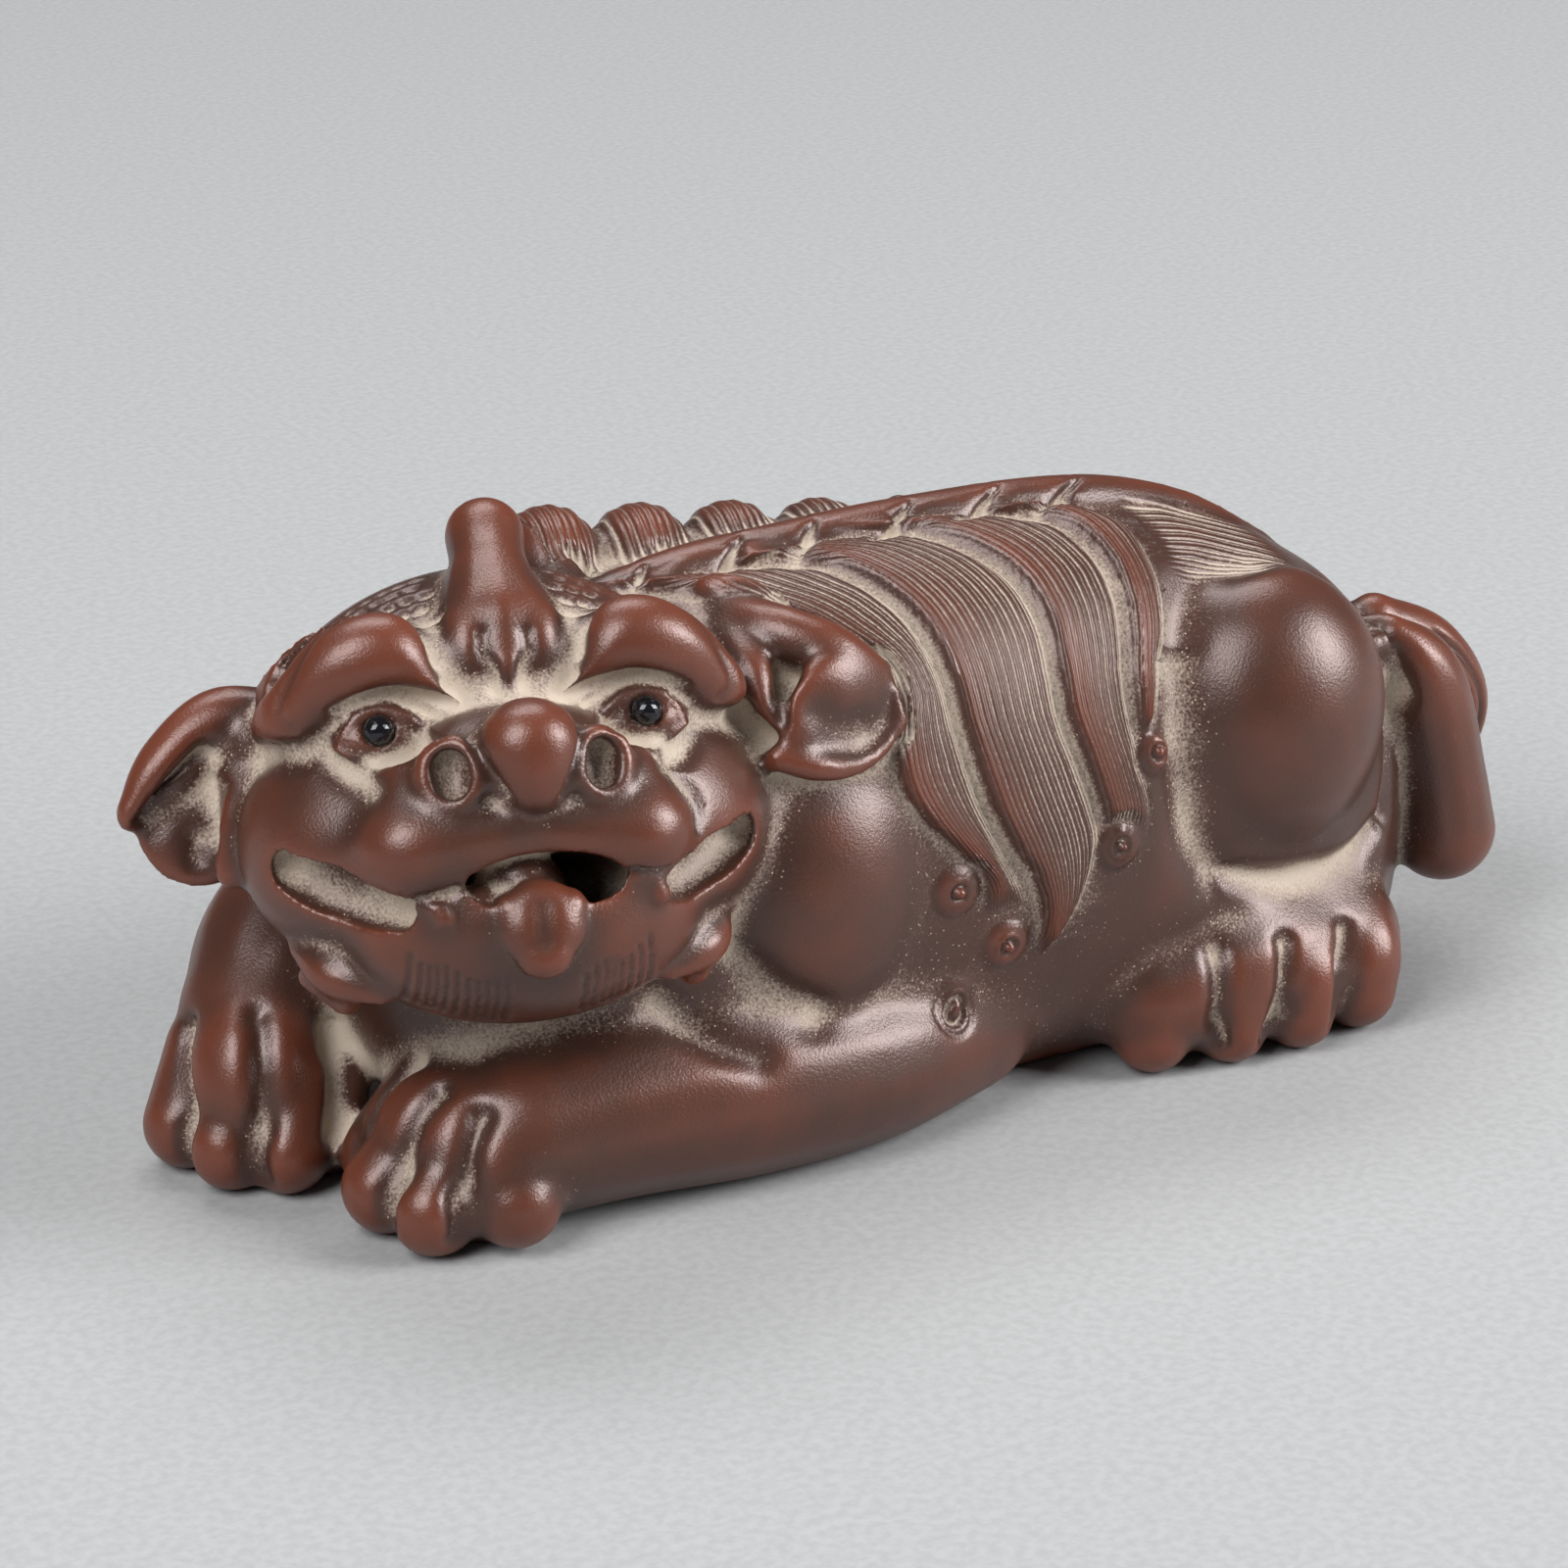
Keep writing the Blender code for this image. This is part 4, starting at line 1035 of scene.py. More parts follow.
@dataclass
class Mane:
    """Locks combed over both flanks to rings of curls, and the flames along the spine."""

    torso: Torso
    lock_height: float = 1.7
    valley: float = 0.3
    lock_edge: float = 0.9
    far_locks: int = 5
    far_start: float = -24.0
    far_pitch: float = 10.4
    far_lock_radius: float = 5.2
    far_strand: float = 0.9
    curl_radius: float = 2.2
    wedge_half_width: float = 1.9
    wedge_depth: float = 1.1
    ridge_radius: float = 3.1
    strand_pitch: float = 0.74
    strand_depth: float = 0.14

    # Partings of the left flank: (place along X, angle above the flank's widest line).
    PARTINGS = (
        ((-27, 86), (-18.5, 80), (-15, 72), (-10.5, 64), (-6.5, 54), (-3, 46), (-2, 37), (-3, 28), (-3, 19),
         (-0.5, 11), (3.5, 4), (6, 0), (6.5, -4)),
        ((-12, 85), (-3, 78), (0.5, 69), (3, 57), (4, 47), (4.5, 38), (4.7, 29), (5.5, 20), (7, 11), (9.5, 3),
         (12, -2), (13, -8), (13, -16)),
        ((0, 87), (8.5, 83), (13, 74), (16, 62), (17, 49), (16.7, 36), (16.7, 26), (18, 17), (19.5, 9),
         (20.5, 3), (20, -1), (18, -8), (14.5, -16)),
        ((10, 88), (18.5, 85), (25, 77), (27, 64), (27, 52), (26, 41), (25, 31), (25, 22), (26, 13), (27, 4),
         (26, -4)),
        ((20, 88), (28, 85), (33.5, 77), (33.5, 62), (32.5, 47), (30.5, 34), (29, 25), (27.5, 17), (27.5, 8)),
    )
    # The angle at which each lock between two partings ends, and its count of strands.
    LOWEST = (-5, -16, 0, 10)
    STRANDS = (15, 20, 15, 10)
    # The curls, placed as the partings are.
    CURLS = ((3.4, 0), (9.5, -10), (3.7, -19), (22.6, 1), (27.4, 15))

    # The cuts between the flames of the spine: where each starts at the top, and where it ends below.
    FLAMES = ((-18.2, -22.4), (-7.2, -12.0), (1.0, -2.9), (12.3, 6.6), (22.8, 16.4), (32.4, 25.8))

    def far_line(self, angle: Any) -> Any:
        """How far behind its top a lock of the right flank has swept at an angle."""
        return np.interp(angle, (-5, 20, 50, 80), (9, 6, 3, 0))

    def forms(self) -> Mesh:
        """Lays on the far locks, the curls and the ridge of the spine.

        Returns:
            The forms.
        """
        clay = Clay()
        for k in range(self.far_locks):
            x, z = self.far_start + self.far_pitch * k, 55.8 - 1.5 * k
            lock = [(x - 1, 5, z - 1.5), (x + 1, 11, z), (x + 3, 18.5, z - 7), (x + 6, 21.5, 37),
                    (x + 9, 21.5, 26)]
            clay.roll(lock, [3.2, self.far_lock_radius, self.far_lock_radius, 4.6, 3.6])
        ridge = [self.torso.point(x, 90, 1, -0.8) for x in range(-24, 57, 10)]
        clay.roll(ridge, [2.4] + [self.ridge_radius] * (len(ridge) - 3) + [2.4, 1.2])
        for x, angle in self.CURLS:
            for side in (-1, 1):
                clay.lump(self.torso.point(x, angle, side, 0.25), (self.curl_radius, 1.2, self.curl_radius))
        return clay.mesh()

    def _locks(self, places: np.ndarray) -> tuple[np.ndarray, ...]:
        """Where each place lies in a lock of the left flank.

        Args:
            places: Places on the skin.

        Returns:
            The lock's number or -1, the share across it, and the distances to its fore and aft partings.
        """
        angle, radius = self.torso.angles(places)
        x = places[:, 0]
        number = np.full(len(places), -1)
        share, to_fore, to_aft = np.zeros((3, len(places)))
        on_flank = (places[:, 1] < 0) & (radius > 0.86) & (radius < 1.25) & (angle < 88)
        lines = [smooth_line(parting)[::-1] for parting in self.PARTINGS]
        arc = math.radians(1) * self.torso.half_width
        for k, (fore, aft) in enumerate(zip(lines, lines[1:])):
            a, b = (np.interp(angle, line[:, 1], line[:, 0]) for line in (fore, aft))
            here = on_flank & (x > a) & (x <= b) & (angle > self.LOWEST[k])
            slopes = (np.gradient(line[:, 0], line[:, 1]) / arc for line in (fore, aft))
            run = [np.interp(angle, line[:, 1], slope) for line, slope in zip((fore, aft), slopes)]
            number[here] = k
            share[here] = ((x - a) / (b - a))[here]
            to_fore[here] = ((x - a) / np.sqrt(1 + run[0] ** 2))[here]
            to_aft[here] = ((b - x) / np.sqrt(1 + run[1] ** 2))[here]
        return number, share, to_fore, to_aft

    def _off_curls(self, places: np.ndarray) -> np.ndarray:
        """Keeps the curls of the left flank clear of hair.

        Args:
            places: Places on the skin.

        Returns:
            0 on the curls, rising to 1 beside them.
        """
        off = np.ones(len(places))
        for x, angle in self.CURLS:
            away = np.linalg.norm(places - np.array(self.torso.point(x, angle, -1, 0.5)), axis=1)
            off = np.minimum(off, eased(away, self.curl_radius + 0.2, self.curl_radius + 1.4))
        return off

    def relief(self, mesh: Mesh) -> Mesh:
        """Raises the locks of the left flank, each with a steep fore edge and a gentle aft one.

        Args:
            mesh: The skin, which is changed.

        Returns:
            The same mesh, with the flames cut too.
        """
        places, normals = places_of(mesh), normals_of(mesh)
        number, share, to_fore, to_aft = self._locks(places)
        angle, _ = self.torso.angles(places)
        lowest = np.array((*self.LOWEST, 0))[number]
        rise = eased(to_fore, self.valley, self.valley + self.lock_edge)
        fall = 1 - 0.55 * eased(share, 0.25, 1.0)
        fall *= eased(to_aft, self.valley, self.valley + 1.5 * self.lock_edge)
        fade = eased(angle, lowest, lowest + 7) * eased(angle, 89, 85) * self._off_curls(places)
        lift = np.where(number >= 0, self.lock_height * rise * fall * fade, 0)
        return moved(mesh, places + normals * (lift - self.flame_cuts(places))[:, None])

    def flame_cuts(self, places: np.ndarray) -> np.ndarray:
        """Shapes the wedges between the spine's flames, which widen towards their feet.

        Args:
            places: Places on the skin.

        Returns:
            The wedges' depth at each place.
        """
        out = np.abs(places[:, 1])
        down = np.clip((out - 0.5) / 4.0, 0, 1.3)
        half = self.wedge_half_width * (0.35 + 0.65 * down)
        cuts = np.zeros(len(places))
        for top_x, foot_x in self.FLAMES:
            gap = np.abs(places[:, 0] - top_x - (foot_x - top_x) * down)
            cuts = np.maximum(cuts, np.clip(1 - gap / half, 0, 1))
        above = places[:, 2] > self.torso.sections(places[:, 0])[1] + 10
        return self.wedge_depth * np.where(above, cuts * eased(out, 0.2, 1.8) * eased(out, 6.0, 4.4), 0)

    def strands(self, places: np.ndarray) -> tuple[np.ndarray, np.ndarray]:
        """The combing of the hair at each place.

        Args:
            places: Places on the skin.

        Returns:
            The count of strands up to the place, which rises across a lock, and the share, 0 to 1,
            to which the place is combed.
        """
        angle, radius = self.torso.angles(places)
        number, share, to_fore, to_aft = self._locks(places)
        count = share * np.array((*self.STRANDS, 0))[number]
        lowest = np.array((*self.LOWEST, 0))[number]
        edge = np.minimum(to_fore - 0.3, to_aft)
        combed = np.where(number >= 0, eased(edge, 0.25, 0.9), 0)
        combed *= eased(angle, lowest, lowest + 6) * self._off_curls(places) * eased(-places[:, 1], 3.8, 5.0)
        far = (places[:, 1] > 4.5) & (radius > 0.95) & (angle > -2)
        far &= (places[:, 0] > self.far_start - 2) & (places[:, 0] < -self.far_start)
        swept = (places[:, 0] - self.far_start - self.far_line(angle)) / self.far_pitch + 0.5
        offset = (swept - np.floor(swept) - 0.5) * self.far_pitch
        far &= (swept > 0) & (swept < self.far_locks)
        count = np.where(far, offset / self.far_strand, count)
        combed = np.where(far, eased(np.abs(offset), 4.6, 3.6) * eased(angle, -2, 12), combed)
        rump = (number < 0) & (places[:, 1] < -2) & (places[:, 0] > 33) & (places[:, 0] < 56) & (angle > 52)
        rump &= radius > 0.95
        count = np.where(rump, (angle * 0.42 + 0.05 * places[:, 0]) / self.strand_pitch, count)
        combing = eased(places[:, 0], 35, 38) * eased(places[:, 0], 55, 48)
        combing = combing * eased(angle, 54, 60) * eased(-places[:, 1], 2.2, 3.4)
        return count, np.where(rump, combing, combed)

    def comb(self, mesh: Mesh) -> Mesh:
        """Scores every other strand into the skin; the finish draws the ones between.

        Args:
            mesh: The skin, which is changed.

        Returns:
            The same mesh.
        """
        places, normals = places_of(mesh), normals_of(mesh)
        count, combed = self.strands(places)
        wave = 0.5 + 0.5 * np.cos(math.pi * count)
        return moved(mesh, places - normals * (self.strand_depth * wave * combed)[:, None])

    def lines(self, tool: Tool) -> None:
        """Scores rings in and round the curls.

        Args:
            tool: What the lines are added to.
        """
        tool.frame = Matrix.Identity(4)
        for x, angle in self.CURLS:
            for side in (-1, 1):
                at = self.torso.point(x, angle, side, 2.2)
                tool.ring(at, (1.25, 0, 0), (0, 0, 1.25), 0.42, 0.85)
                tool.ring(at, (2.5, 0, 0), (0, 0, 2.5), 0.4, 0.3)


@dataclass
class Tail:
    """The tail, folded up against the rump in three rolls."""

    def forms(self) -> Mesh:
        """Lays on the tail.

        Returns:
            Its three rolls.
        """
        clay = Clay()
        clay.roll([(63, -12, 38), (68, -12.5, 33), (71, -12.5, 22), (72.4, -12, 15)], [3.4, 4.8, 5.2, 5.8])
        clay.roll([(68, -4, 37), (75.0, -4, 32), (78.4, -4, 25), (75, -4, 18)], [3.0, 4.3, 4.6, 3.5])
        clay.roll([(66, 6, 36), (71, 6, 29), (72, 6, 20), (70, 6, 12)], [3.5, 4.8, 5.2, 5.4])
        return clay.mesh()

    def lines(self, tool: Tool) -> None:
        """Scores the curl in the middle roll.

        Args:
            tool: What the line is added to.
        """
        tool.frame = Matrix.Identity(4)
        curl = ((74.5, 36), (78.5, 32), (80.6, 27), (79.4, 22.5), (77.2, 24), (77.4, 28))
        tool.line([(x, -9, z) for x, z in curl], 0.55, 0.6)


class Socket:
    """A shader socket that takes part in Python expressions."""

    def __init__(self, tree: "Shader", socket: Any) -> None:
        """Wraps one output socket of the tree."""
        self.tree = tree
        self.socket = socket

    def _math(self, operation: str, *values: Any) -> "Socket":
        """The result of a Math node on the values."""
        return self.tree.node("ShaderNodeMath", {"operation": operation}, dict(enumerate(values)))

    def __add__(self, other: Any) -> "Socket":
        """Sum."""
        return self._math("ADD", self, other)

    __radd__ = __add__

    def __sub__(self, other: Any) -> "Socket":
        """Difference."""
        return self._math("SUBTRACT", self, other)

    def __rsub__(self, other: Any) -> "Socket":
        """Difference, the other way round."""
        return self._math("SUBTRACT", other, self)

    def __mul__(self, other: Any) -> "Socket":
        """Product."""
        return self._math("MULTIPLY", self, other)

    __rmul__ = __mul__

    def __pow__(self, other: Any) -> "Socket":
        """Power."""
        return self._math("POWER", self, other)

    def cosine(self) -> "Socket":
        """Cosine of an angle in radians."""
        return self._math("COSINE", self)

    def step(self, low: float, high: float) -> "Socket":
        """A smooth step from 0 at low to 1 at high."""
        inputs = {"Value": self, "From Min": low, "From Max": high}
        return self.tree.node("ShaderNodeMapRange", {"interpolation_type": "SMOOTHSTEP"}, inputs)


class Shader:
    """A material's node tree, built from expressions."""

    def __init__(self, name: str) -> None:
        """Makes a material with a Principled shader.

        Args:
            name: The material's name.
        """
        self.material = bpy.data.materials.new(name)
        self.material.use_nodes = True
        self.tree = self.material.node_tree
        self.principled = self.tree.nodes["Principled BSDF"]

    def node(self, kind: str, settings: Optional[dict[str, Any]] = None,
             inputs: Optional[dict[Any, Any]] = None, output: Any = 0) -> Socket:
        """Adds a node.

        Args:
            kind: The node's type.
            settings: Its properties, set before its sockets.
            inputs: Values or links by socket name or number.
            output: Name or number of the output to return.

        Returns:
            That output.
        """
        made = self.tree.nodes.new(kind)
        for name, value in (settings or {}).items():
            setattr(made, name, value)
        for name, value in (inputs or {}).items():
            self.feed(made.inputs[name], value)
        return Socket(self, made.outputs[output])

    def feed(self, target: Any, value: Any) -> None:
        """Fills an input socket.

        Args:
            target: The input socket.
            value: A Socket to link to it, or its own value.
        """
        if isinstance(value, Socket):
            self.tree.links.new(value.socket, target)
        else:
            target.default_value = value

    def set(self, **inputs: Any) -> None:
        """Feeds the Principled shader's sockets, with their names' spaces as underscores."""
        for name, value in inputs.items():
            self.feed(self.principled.inputs[name.replace("_", " ")], value)

    def attribute(self, name: str) -> Socket:
        """A number kept at the mesh's vertices."""
        return self.node("ShaderNodeAttribute", {"attribute_name": name}, output="Fac")

    def mix(self, factor: Any, a: Any, b: Any) -> Socket:
        """A colour between a and b."""
        return self.node("ShaderNodeMix", {"data_type": "RGBA"}, {0: factor, 6: a, 7: b}, 2)

    def noise(self, place: Socket, scale: float, detail: float = 2.0) -> Socket:
        """Cloudy noise from 0 to 1."""
        return self.node("ShaderNodeTexNoise", {}, {"Vector": place, "Scale": scale, "Detail": detail}, "Fac")

    def place(self) -> Socket:
        """The place on the object, in metres."""
        return self.node("ShaderNodeTexCoord", {}, output="Object")

    def bump(self, height: Socket, distance: float, strength: float = 1.0) -> Socket:
        """A normal from a height."""
        inputs = {"Height": height, "Distance": distance, "Strength": strength}
        return self.node("ShaderNodeBump", {}, inputs, "Normal")


@dataclass(frozen=True)
class ClayFinish:
    """Dark red-brown stoneware, polished by handling, with pale dust in its hollows. Its bulges turn red,
    partly as wear and partly as painted light, and the rest stays dark, partly as painted shade.

    Scales are in marks a metre.
    """

    # dark is the clay's unworn colour and also painted shade; red is the colour of rubbed bulges and also
    # painted light.
    dark: tuple[float, float, float, float] = (0.050, 0.0205, 0.0135, 1)
    red: tuple[float, float, float, float] = (0.150, 0.036, 0.016, 1)
    film: tuple[float, float, float, float] = (0.185, 0.118, 0.094, 1)
    dust: tuple[float, float, float, float] = (0.52, 0.435, 0.345, 1)
    specks: tuple[float, float, float, float] = (0.60, 0.50, 0.36, 1)
    sheen: tuple[float, float, float, float] = (1.0, 0.84, 0.80, 1)
    grain_scale: float = 3600
    speck_scale: float = 1500
    cloud_scale: float = 260
    drift_scale: float = 55
    relief: float = 0.00014

    def material(self) -> bpy.types.Material:
        """Makes the clay's material, which reads the skin's hollow, worn_and_lit, strand and combed
        attributes.

        Returns:
            The material.
        """
        shader = Shader("stoneware")
        place = shader.place()
        grain = shader.noise(place, self.grain_scale, 3)
        cloud = shader.noise(place, self.cloud_scale, 4)
        drift = shader.noise(place, self.drift_scale, 3)
        hollow, worn_and_lit = shader.attribute("hollow"), shader.attribute("worn_and_lit")
        combed = shader.attribute("combed")
        turns = shader.attribute("strand") + (cloud - 0.5) * 0.5
        groove = ((turns * (2 * math.pi)).cosine() * 0.5 + 0.5) ** 1.5 * combed
        soil = hollow + (cloud - 0.5) * 0.35 + (grain - 0.5) * 1.2
        film = (soil + groove * 1.2 + combed * 0.3).step(0.16, 1.05)
        dusty = (soil + groove * 1.0).step(0.4, 1.3)
        # Painted light and shade, partly real wear: bulges that stand out turn from the dark colour to the
        # red, lit one.
        rubbed_and_lit = (worn_and_lit + (drift - 0.5) * 0.9 + (cloud - 0.5) * 0.3).step(0.0, 1.0)
        body = shader.mix(rubbed_and_lit, self.dark, self.red)
        colour = shader.mix(film * 0.75, body, self.film)
        colour = shader.mix(dusty, colour, self.dust)
        cells = {"Vector": place, "Scale": self.speck_scale}
        spot = shader.node("ShaderNodeTexVoronoi", {}, cells, "Distance")
        specked = (1 - spot.step(0.08, 0.20)) * (hollow * 0.6 + cloud).step(0.42, 0.85)
        colour = shader.mix(specked * 0.8, colour, self.specks)
        height = grain * 0.3 + cloud * 0.25 - groove * 1.1 + specked * 0.3
        shader.set(
            Base_Color=colour,
            Roughness=dusty * 0.40 + film * 0.08 + grain * 0.08 + 0.30,
            Normal=shader.bump(height, self.relief),
            Specular_IOR_Level=0.78,
            Specular_Tint=self.sheen,
        )
        return shader.material


@dataclass(frozen=True)
class BeadFinish:
    """Glossy black bead glass with a faint breath of dust."""

    black: tuple[float, float, float, float] = (0.006, 0.006, 0.008, 1)
    dulled: tuple[float, float, float, float] = (0.035, 0.033, 0.032, 1)

    def material(self) -> bpy.types.Material:
        """Makes the beads' material.

        Returns:
            The material.
        """
        shader = Shader("bead_glass")
        place = shader.place()
        dull = shader.noise(place, 1400, 3).step(0.55, 0.8)
        shader.set(Base_Color=shader.mix(dull, self.black, self.dulled), Roughness=dull * 0.2 + 0.12)
        return shader.material


@dataclass(frozen=True)
class PaperFinish:
    """Plain pale grey paper."""

    light: tuple[float, float, float, float] = (0.41, 0.41, 0.407, 1)
    deep: tuple[float, float, float, float] = (0.365, 0.365, 0.362, 1)

    def material(self) -> bpy.types.Material:
        """Makes the floor's material, with a faint fibre.

        Returns:
            The material.
        """
        shader = Shader("grey_paper")
        place = shader.place()
        fibre = shader.noise(place, 900, 4)
        shader.set(
            Base_Color=shader.mix(fibre.step(0.3, 0.7), self.deep, self.light),
            Roughness=0.9,
            Normal=shader.bump(fibre, 0.00005, 0.5),
            Specular_IOR_Level=0.2,
        )
        return shader.material


@dataclass
class Lion:
    """The whole clay figure: builds its skin, its dust and its finish."""

    torso: Torso
    head: Head
    ears: Ears
    paws: Paws
    mane: Mane
    tail: Tail
    finish: ClayFinish
    triangles: int = 196000

    def skin(self, fineness: Fineness) -> Mesh:
        """Works up the figure's skin.

        Args:
            fineness: How fine each round of modelling is.

        Returns:
            The skin, in millimetres.
        """
        soft, form, fine = fineness.value
        masses = pressed_together([self.torso.mesh(), self.torso.masses(), self.head.masses()], soft, 10)
        parts = [masses, self.head.forms(), *self.ears.forms(), self.paws.forms(), self.mane.forms()]
        forms = pressed_together([*parts, self.tail.forms()], form, 3)
        tool = Tool()
        self.head.pads(tool)
        forms = tool.press_into(forms)
        forms = self._cut(forms, self.head.mouth_cutter(form))
        skin = self.mane.relief(pressed_together([forms, self.head.fine_forms()], fine, 2))
        tool = Tool()
        self.torso.creases(tool)
        self.head.lines(tool)
        self.ears.lines(tool)
        self.paws.lines(tool)
        self.mane.lines(tool)
        self.tail.lines(tool)
        skin = self.mane.comb(tool.press_into(skin))
        moved(skin, self.head.set_beads(places_of(skin)))
        return self._flat_underneath(skin)

    @staticmethod
    def _cut(mesh: Mesh, cutter: Mesh) -> Mesh:
        """Cuts one mesh with another.

        Args:
            mesh: The mesh to cut.
            cutter: What is cut away.

        Returns:
            The mesh less the cutter.
        """
        blade = linked("blade", cutter)
        result = worked(mesh, ("BOOLEAN", {"operation": "DIFFERENCE", "object": blade}))
        bpy.data.objects.remove(blade)
        return result

    @staticmethod
    def _flat_underneath(mesh: Mesh) -> Mesh:
        """Trims a mesh flat on the ground.

        Args:
            mesh: The mesh.

        Returns:
            What lies above the ground, closed underneath.
        """
        bm = bmesh.new()
        bm.from_mesh(mesh)
        geometry = [*bm.verts, *bm.edges, *bm.faces]
        bmesh.ops.bisect_plane(bm, geom=geometry, plane_co=(0, 0, 0), plane_no=(0, 0, 1), clear_inner=True)
        rim = [edge for edge in bm.edges if edge.is_boundary]
        filled = bmesh.ops.holes_fill(bm, edges=rim, sides=0)["faces"]
        bmesh.ops.triangulate(bm, faces=filled)
        return mesh_of(bm, "skin")

    # How far the skin is smoothed, the depth that counts as deep at that scale, and the scale's weight.
    SCALES = ((1.9, 0.14, 0.30), (5.4, 0.6, 0.50), (12.0, 1.6, 0.45))
    # Where dust has settled or been rubbed away, and where it is kept off to paint shade: place, reach and
    # amount, on the head and on the body.
    HEAD_DUST_AND_SHADE = (
        # The first two spots, at the tops of the corner pockets under the lip, are painted shade: no dust
        # there, so the dark clay shows.
        ((16.6, -14.6, -6.0), 2.6, -0.9), ((-16.6, -14.6, -6.0), 2.6, -0.9), ((16, -8, 16.5), 4.5, 0.35),
        ((-16, -8, 16.5), 4.5, 0.35), ((5, -18, 9.5), 3.4, 0.55), ((-5, -18, 9.5), 3.4, 0.55),
        ((0, -19, 8.0), 3.0, 0.5), ((14, -16, 1.2), 3.6, 0.4), ((-14, -16, 1.2), 3.6, 0.35),
        ((11.4, -19.4, 2.4), 2.6, 0.45),
        ((-11.4, -19.4, 2.4), 2.6, 0.45), ((7.4, -14, 13.4), 3.2, 0.45), ((-7.4, -14, 13.4), 3.2, 0.45),
        ((9, -12, 18), 4.0, 0.4), ((-9, -12, 18), 4.0, 0.4), ((18.5, -13, -8.6), 4.0, 0.3),
        ((-18.5, -13, -8.6), 4.0, 0.3), ((-13, -17, -10.6), 3.0, 0.4), ((-1, -17, -8.4), 4.0, 0.9),
        ((6.2, -23, 0.8), 2.4, -0.8), ((-6.2, -23, 0.8), 2.4, -0.8), ((-29, 0, 1), 4.0, 0.3),
        ((0.4, -27, 3), 5.0, -0.4), ((0, -14, -15), 6.0, -0.3), ((12.4, -17, 5.4), 3.0, 0.85),
        ((-12.4, -17, 5.4), 3.0, 0.85),
    )
    BODY_DUST = (
        ((-44, -14, 17), 5.0, 0.4), ((-50, -13, 13.5), 3.5, 0.5), ((-49, 0, 12), 6.0, 0.5),
        ((38, -22, 17), 5.0, 0.35), ((48, -22, 16), 5.5, 0.35), ((57, -20, 15), 4.0, 0.35),
        ((31.5, -22, 27), 4.5, 0.3), ((-20, -24, 21), 4.0, 0.3), ((-12, -20, 43), 4.0, 0.3),
        ((46, -27, 34), 11.0, -0.3),
    )
    # How much dust a millimetre of the flames' wedges holds.
    WEDGE_DUST = 0.6

    def _hollows(self, mesh: Mesh, voxel: float) -> tuple[np.ndarray, np.ndarray]:
        """How hollow and dusty the skin lies, and how far it stands out, which the finish paints red as wear
        and as painted light.

        Args:
            mesh: The skin.
            voxel: The size that its faces have.

        Returns:
            At each vertex, how deep in a hollow it lies and dusty it is, below 0 where it stands out or where
            shade is painted, and how much its surroundings stand out.
        """
        places, normals = places_of(mesh), normals_of(mesh)
        hollow, proud = np.zeros(len(places)), np.zeros(len(places))
        for reach, deep, weight in self.SCALES:
            steps = ("SMOOTH", {"factor": 0.5, "iterations": round((reach / voxel) ** 2)})
            depth = np.tanh(((places_of(worked(mesh.copy(), steps)) - places) * normals).sum(1) / deep)
            LOG.info("hollows %.1f: %s", reach, np.percentile(depth, (5, 25, 50, 75, 95)).round(2))
            hollow += weight * depth
            proud += np.maximum(-depth, 0) * (weight if reach > 2 else 0)
        head = self.head.matrix()
        spots = [(head @ Vector(place), reach, amount) for place, reach, amount in self.HEAD_DUST_AND_SHADE]
        for place, reach, amount in [*spots, *self.BODY_DUST]:
            hollow += amount * np.exp(-((np.linalg.norm(places - np.array(place), axis=1) / reach) ** 2))
        hollow += self.WEDGE_DUST * self.mane.flame_cuts(places)
        return hollow, proud

    def build(self, fineness: Fineness) -> bpy.types.Object:
        """Builds the figure, dresses it and puts it in the CAD figure's place.

        Args:
            fineness: How fine each round of modelling is.

        Returns:
            The figure.
        """
        dense = self.skin(fineness)
        hollow, proud = self._hollows(dense, fineness.value[2])
        count = sum(len(p.vertices) - 2 for p in dense.polygons)
        mesh = worked(dense.copy(), ("DECIMATE", {"ratio": min(1.0, self.triangles / count)}))
        tree = KDTree(len(dense.vertices))
        for index, place in enumerate(places_of(dense)):
            tree.insert(place, index)
        tree.balance()
        places = places_of(mesh)
        nearest = np.array([tree.find(place)[1] for place in places])
        strand, combed = self.mane.strands(places)
        # worn_and_lit: how far the surroundings stand out, painted red as wear and as painted light.
        kept = {"hollow": hollow[nearest], "worn_and_lit": proud[nearest], "strand": strand, "combed": combed}
        for name, values in kept.items():
            layer = mesh.attributes.new(name, "FLOAT", "POINT")
            layer.data.foreach_set("value", values.astype(np.float32))
        mesh.transform(Matrix.Scale(MM, 4))
        mesh.shade_smooth()
        mesh.materials.clear()
        mesh.materials.append(self.finish.material())
        figure = linked("lion", mesh)
        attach(figure, "root")
        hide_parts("figure")
        return figure


@dataclass
class Beads:
    """The eye beads, which stay as the CAD made them and get their finish."""

    finish: BeadFinish
    names: tuple[str, ...] = ("eye_bead_left", "eye_bead_right")

    def dress(self) -> None:
        """Gives both beads the bead finish."""
        glass = self.finish.material()
        for name in self.names:
            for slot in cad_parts[name].material_slots:
                slot.material = glass
            LOG.info("dressed %s", name)


@dataclass(frozen=True)
class SoftBox:
    """A rectangular light, placed round the figure.

    Its azimuth runs from -Y towards +X and its elevation up from the horizon, both in degrees. Its size
    is its width and height in metres, and its power is in watts.
    """

    name: str
    azimuth: float
    elevation: float
    size: tuple[float, float]
    power: float
    away: float = 1.6


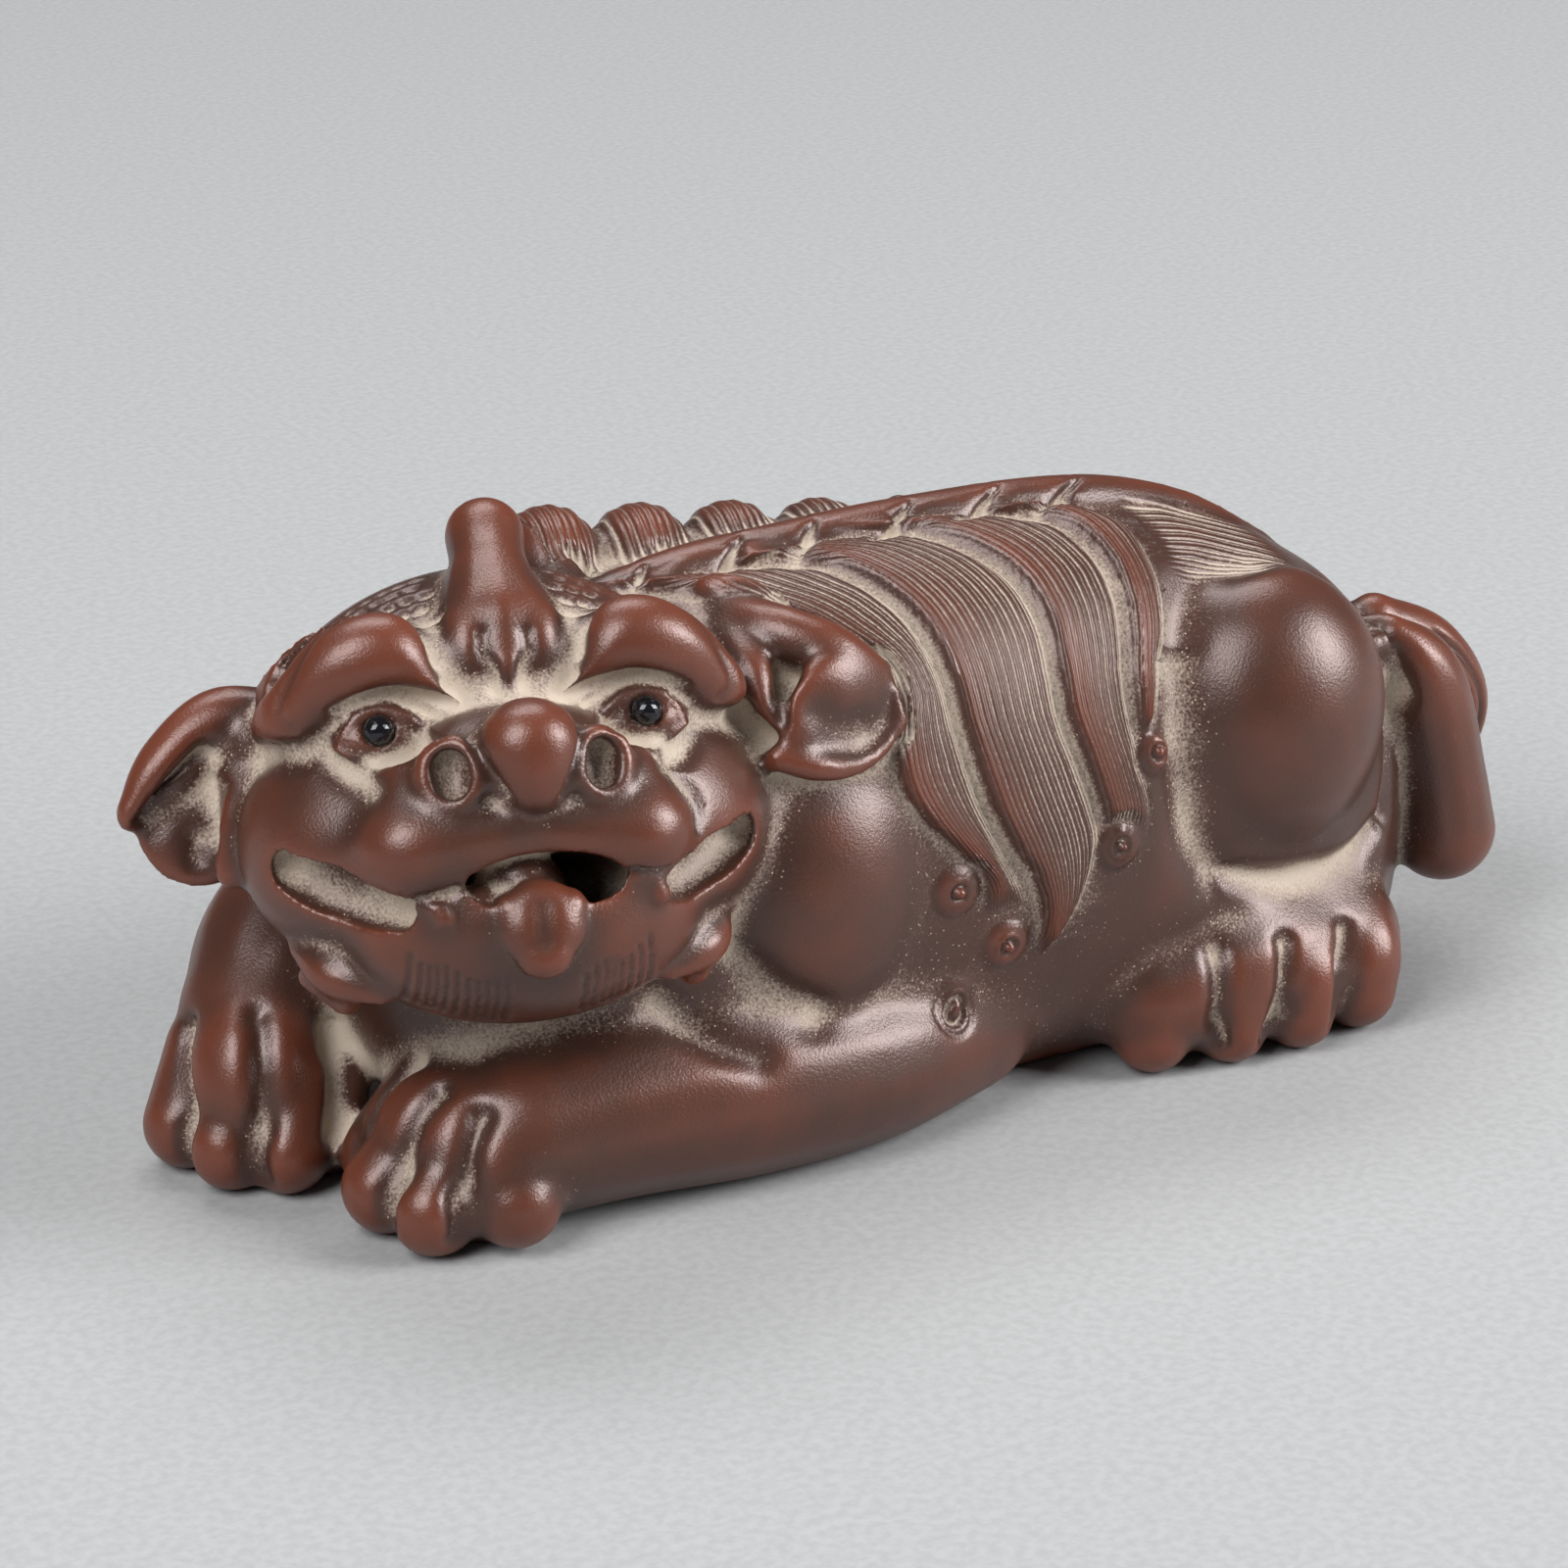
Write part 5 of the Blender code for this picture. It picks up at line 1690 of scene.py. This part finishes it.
@dataclass
class Studio:
    """Floor, soft boxes, world and the camera of the photograph."""

    BOXES = (
        SoftBox("box_left", -68, 44, (0.85, 1.1), 26.0),
        SoftBox("box_right", 53, 27, (0.70, 0.90), 31.0),
        SoftBox("box_back", 165, 62, (1.2, 0.6), 13.5),
    )

    azimuth: float = -30.0
    elevation: float = 22.0
    target: tuple[float, float, float] = (0.0, 0.0, 0.025)
    distance: float = 0.520
    focal_pixels: float = 5200.0
    image_pixels: float = 1600.0
    target_pixel: tuple[float, float] = (820.0, 850.0)
    sensor: float = 36.0
    floor_half: float = 4.0
    surround: float = 0.08
    background: float = 0.55

    @staticmethod
    def towards(azimuth: float, elevation: float) -> Vector:
        """The direction from the figure to a place round it, given in degrees."""
        turn, lift = math.radians(azimuth), math.radians(elevation)
        return Vector((math.sin(turn) * math.cos(lift), -math.cos(turn) * math.cos(lift), math.sin(lift)))

    def floor(self) -> bpy.types.Object:
        """Lays out the paper that the figure lies on.

        Returns:
            The paper.
        """
        bm = bmesh.new()
        bmesh.ops.create_grid(bm, x_segments=1, y_segments=1, size=self.floor_half)
        paper = linked("floor", mesh_of(bm, "floor"))
        paper.data.materials.append(PaperFinish().material())
        return paper

    def camera(self) -> bpy.types.Object:
        """Sets the camera at the photograph's viewing angle.

        Returns:
            The camera.
        """
        turn = math.radians(self.azimuth)
        back = self.towards(self.azimuth, self.elevation)
        right = Vector((math.cos(turn), math.sin(turn), 0))
        up = back.cross(right)
        data = bpy.data.cameras.new("camera")
        data.sensor_width = self.sensor
        data.lens = self.focal_pixels / self.image_pixels * self.sensor
        camera = linked("camera", data)
        per_pixel = self.distance / self.focal_pixels
        across, down = (pixel - self.image_pixels / 2 for pixel in self.target_pixel)
        at = Vector(self.target) + back * self.distance + (up * down - right * across) * per_pixel
        matrix = Matrix((right, up, back)).transposed().to_4x4()
        matrix.translation = at
        camera.matrix_world = matrix
        bpy.context.scene.camera = camera
        return camera

    def light(self, box: SoftBox) -> None:
        """Sets up a soft box, turned to the figure.

        Args:
            box: The box.
        """
        data = bpy.data.lights.new(box.name, "AREA")
        data.shape = "RECTANGLE"
        data.size, data.size_y = box.size
        data.energy = box.power
        data.color = (0.97, 0.98, 1.0)
        back = self.towards(box.azimuth, box.elevation)
        lamp = linked(box.name, data)
        lamp.location = Vector(self.target) + back * box.away
        lamp.rotation_mode = "QUATERNION"
        lamp.rotation_quaternion = back.to_track_quat("Z", "Y")

    def world(self) -> None:
        """A dim pale surround, which the camera sees as the paper's grey."""
        world = bpy.data.worlds.new("surround")
        bpy.context.scene.world = world
        world.use_nodes = True
        tree = world.node_tree
        shade = tree.nodes["Background"]
        shade.inputs["Color"].default_value = (0.96, 0.98, 1.0, 1)
        path = tree.nodes.new("ShaderNodeLightPath")
        strength = tree.nodes.new("ShaderNodeMapRange")
        strength.inputs["To Min"].default_value = self.surround
        strength.inputs["To Max"].default_value = self.background
        tree.links.new(path.outputs["Is Camera Ray"], strength.inputs["Value"])
        tree.links.new(strength.outputs["Result"], shade.inputs["Strength"])

    def build(self) -> None:
        """Sets up the whole studio."""
        self.floor()
        self.camera()
        for box in self.BOXES:
            self.light(box)
        self.world()
        bpy.context.scene.view_settings.view_transform = "Standard"


def main() -> None:
    """Builds the studio, the lion and the finish of its beads, in order."""
    logging.basicConfig(level=logging.INFO, format="%(name)s: %(message)s")
    Studio().build()
    torso, head = Torso(), Head()
    lion = Lion(torso, head, Ears(head), Paws(), Mane(torso), Tail(), ClayFinish())
    figure = lion.build(Fineness.chosen())
    LOG.info("built %s, %d triangles", figure.name, len(figure.data.polygons))
    Beads(BeadFinish()).dress()


if __name__ == "__main__":
    main()
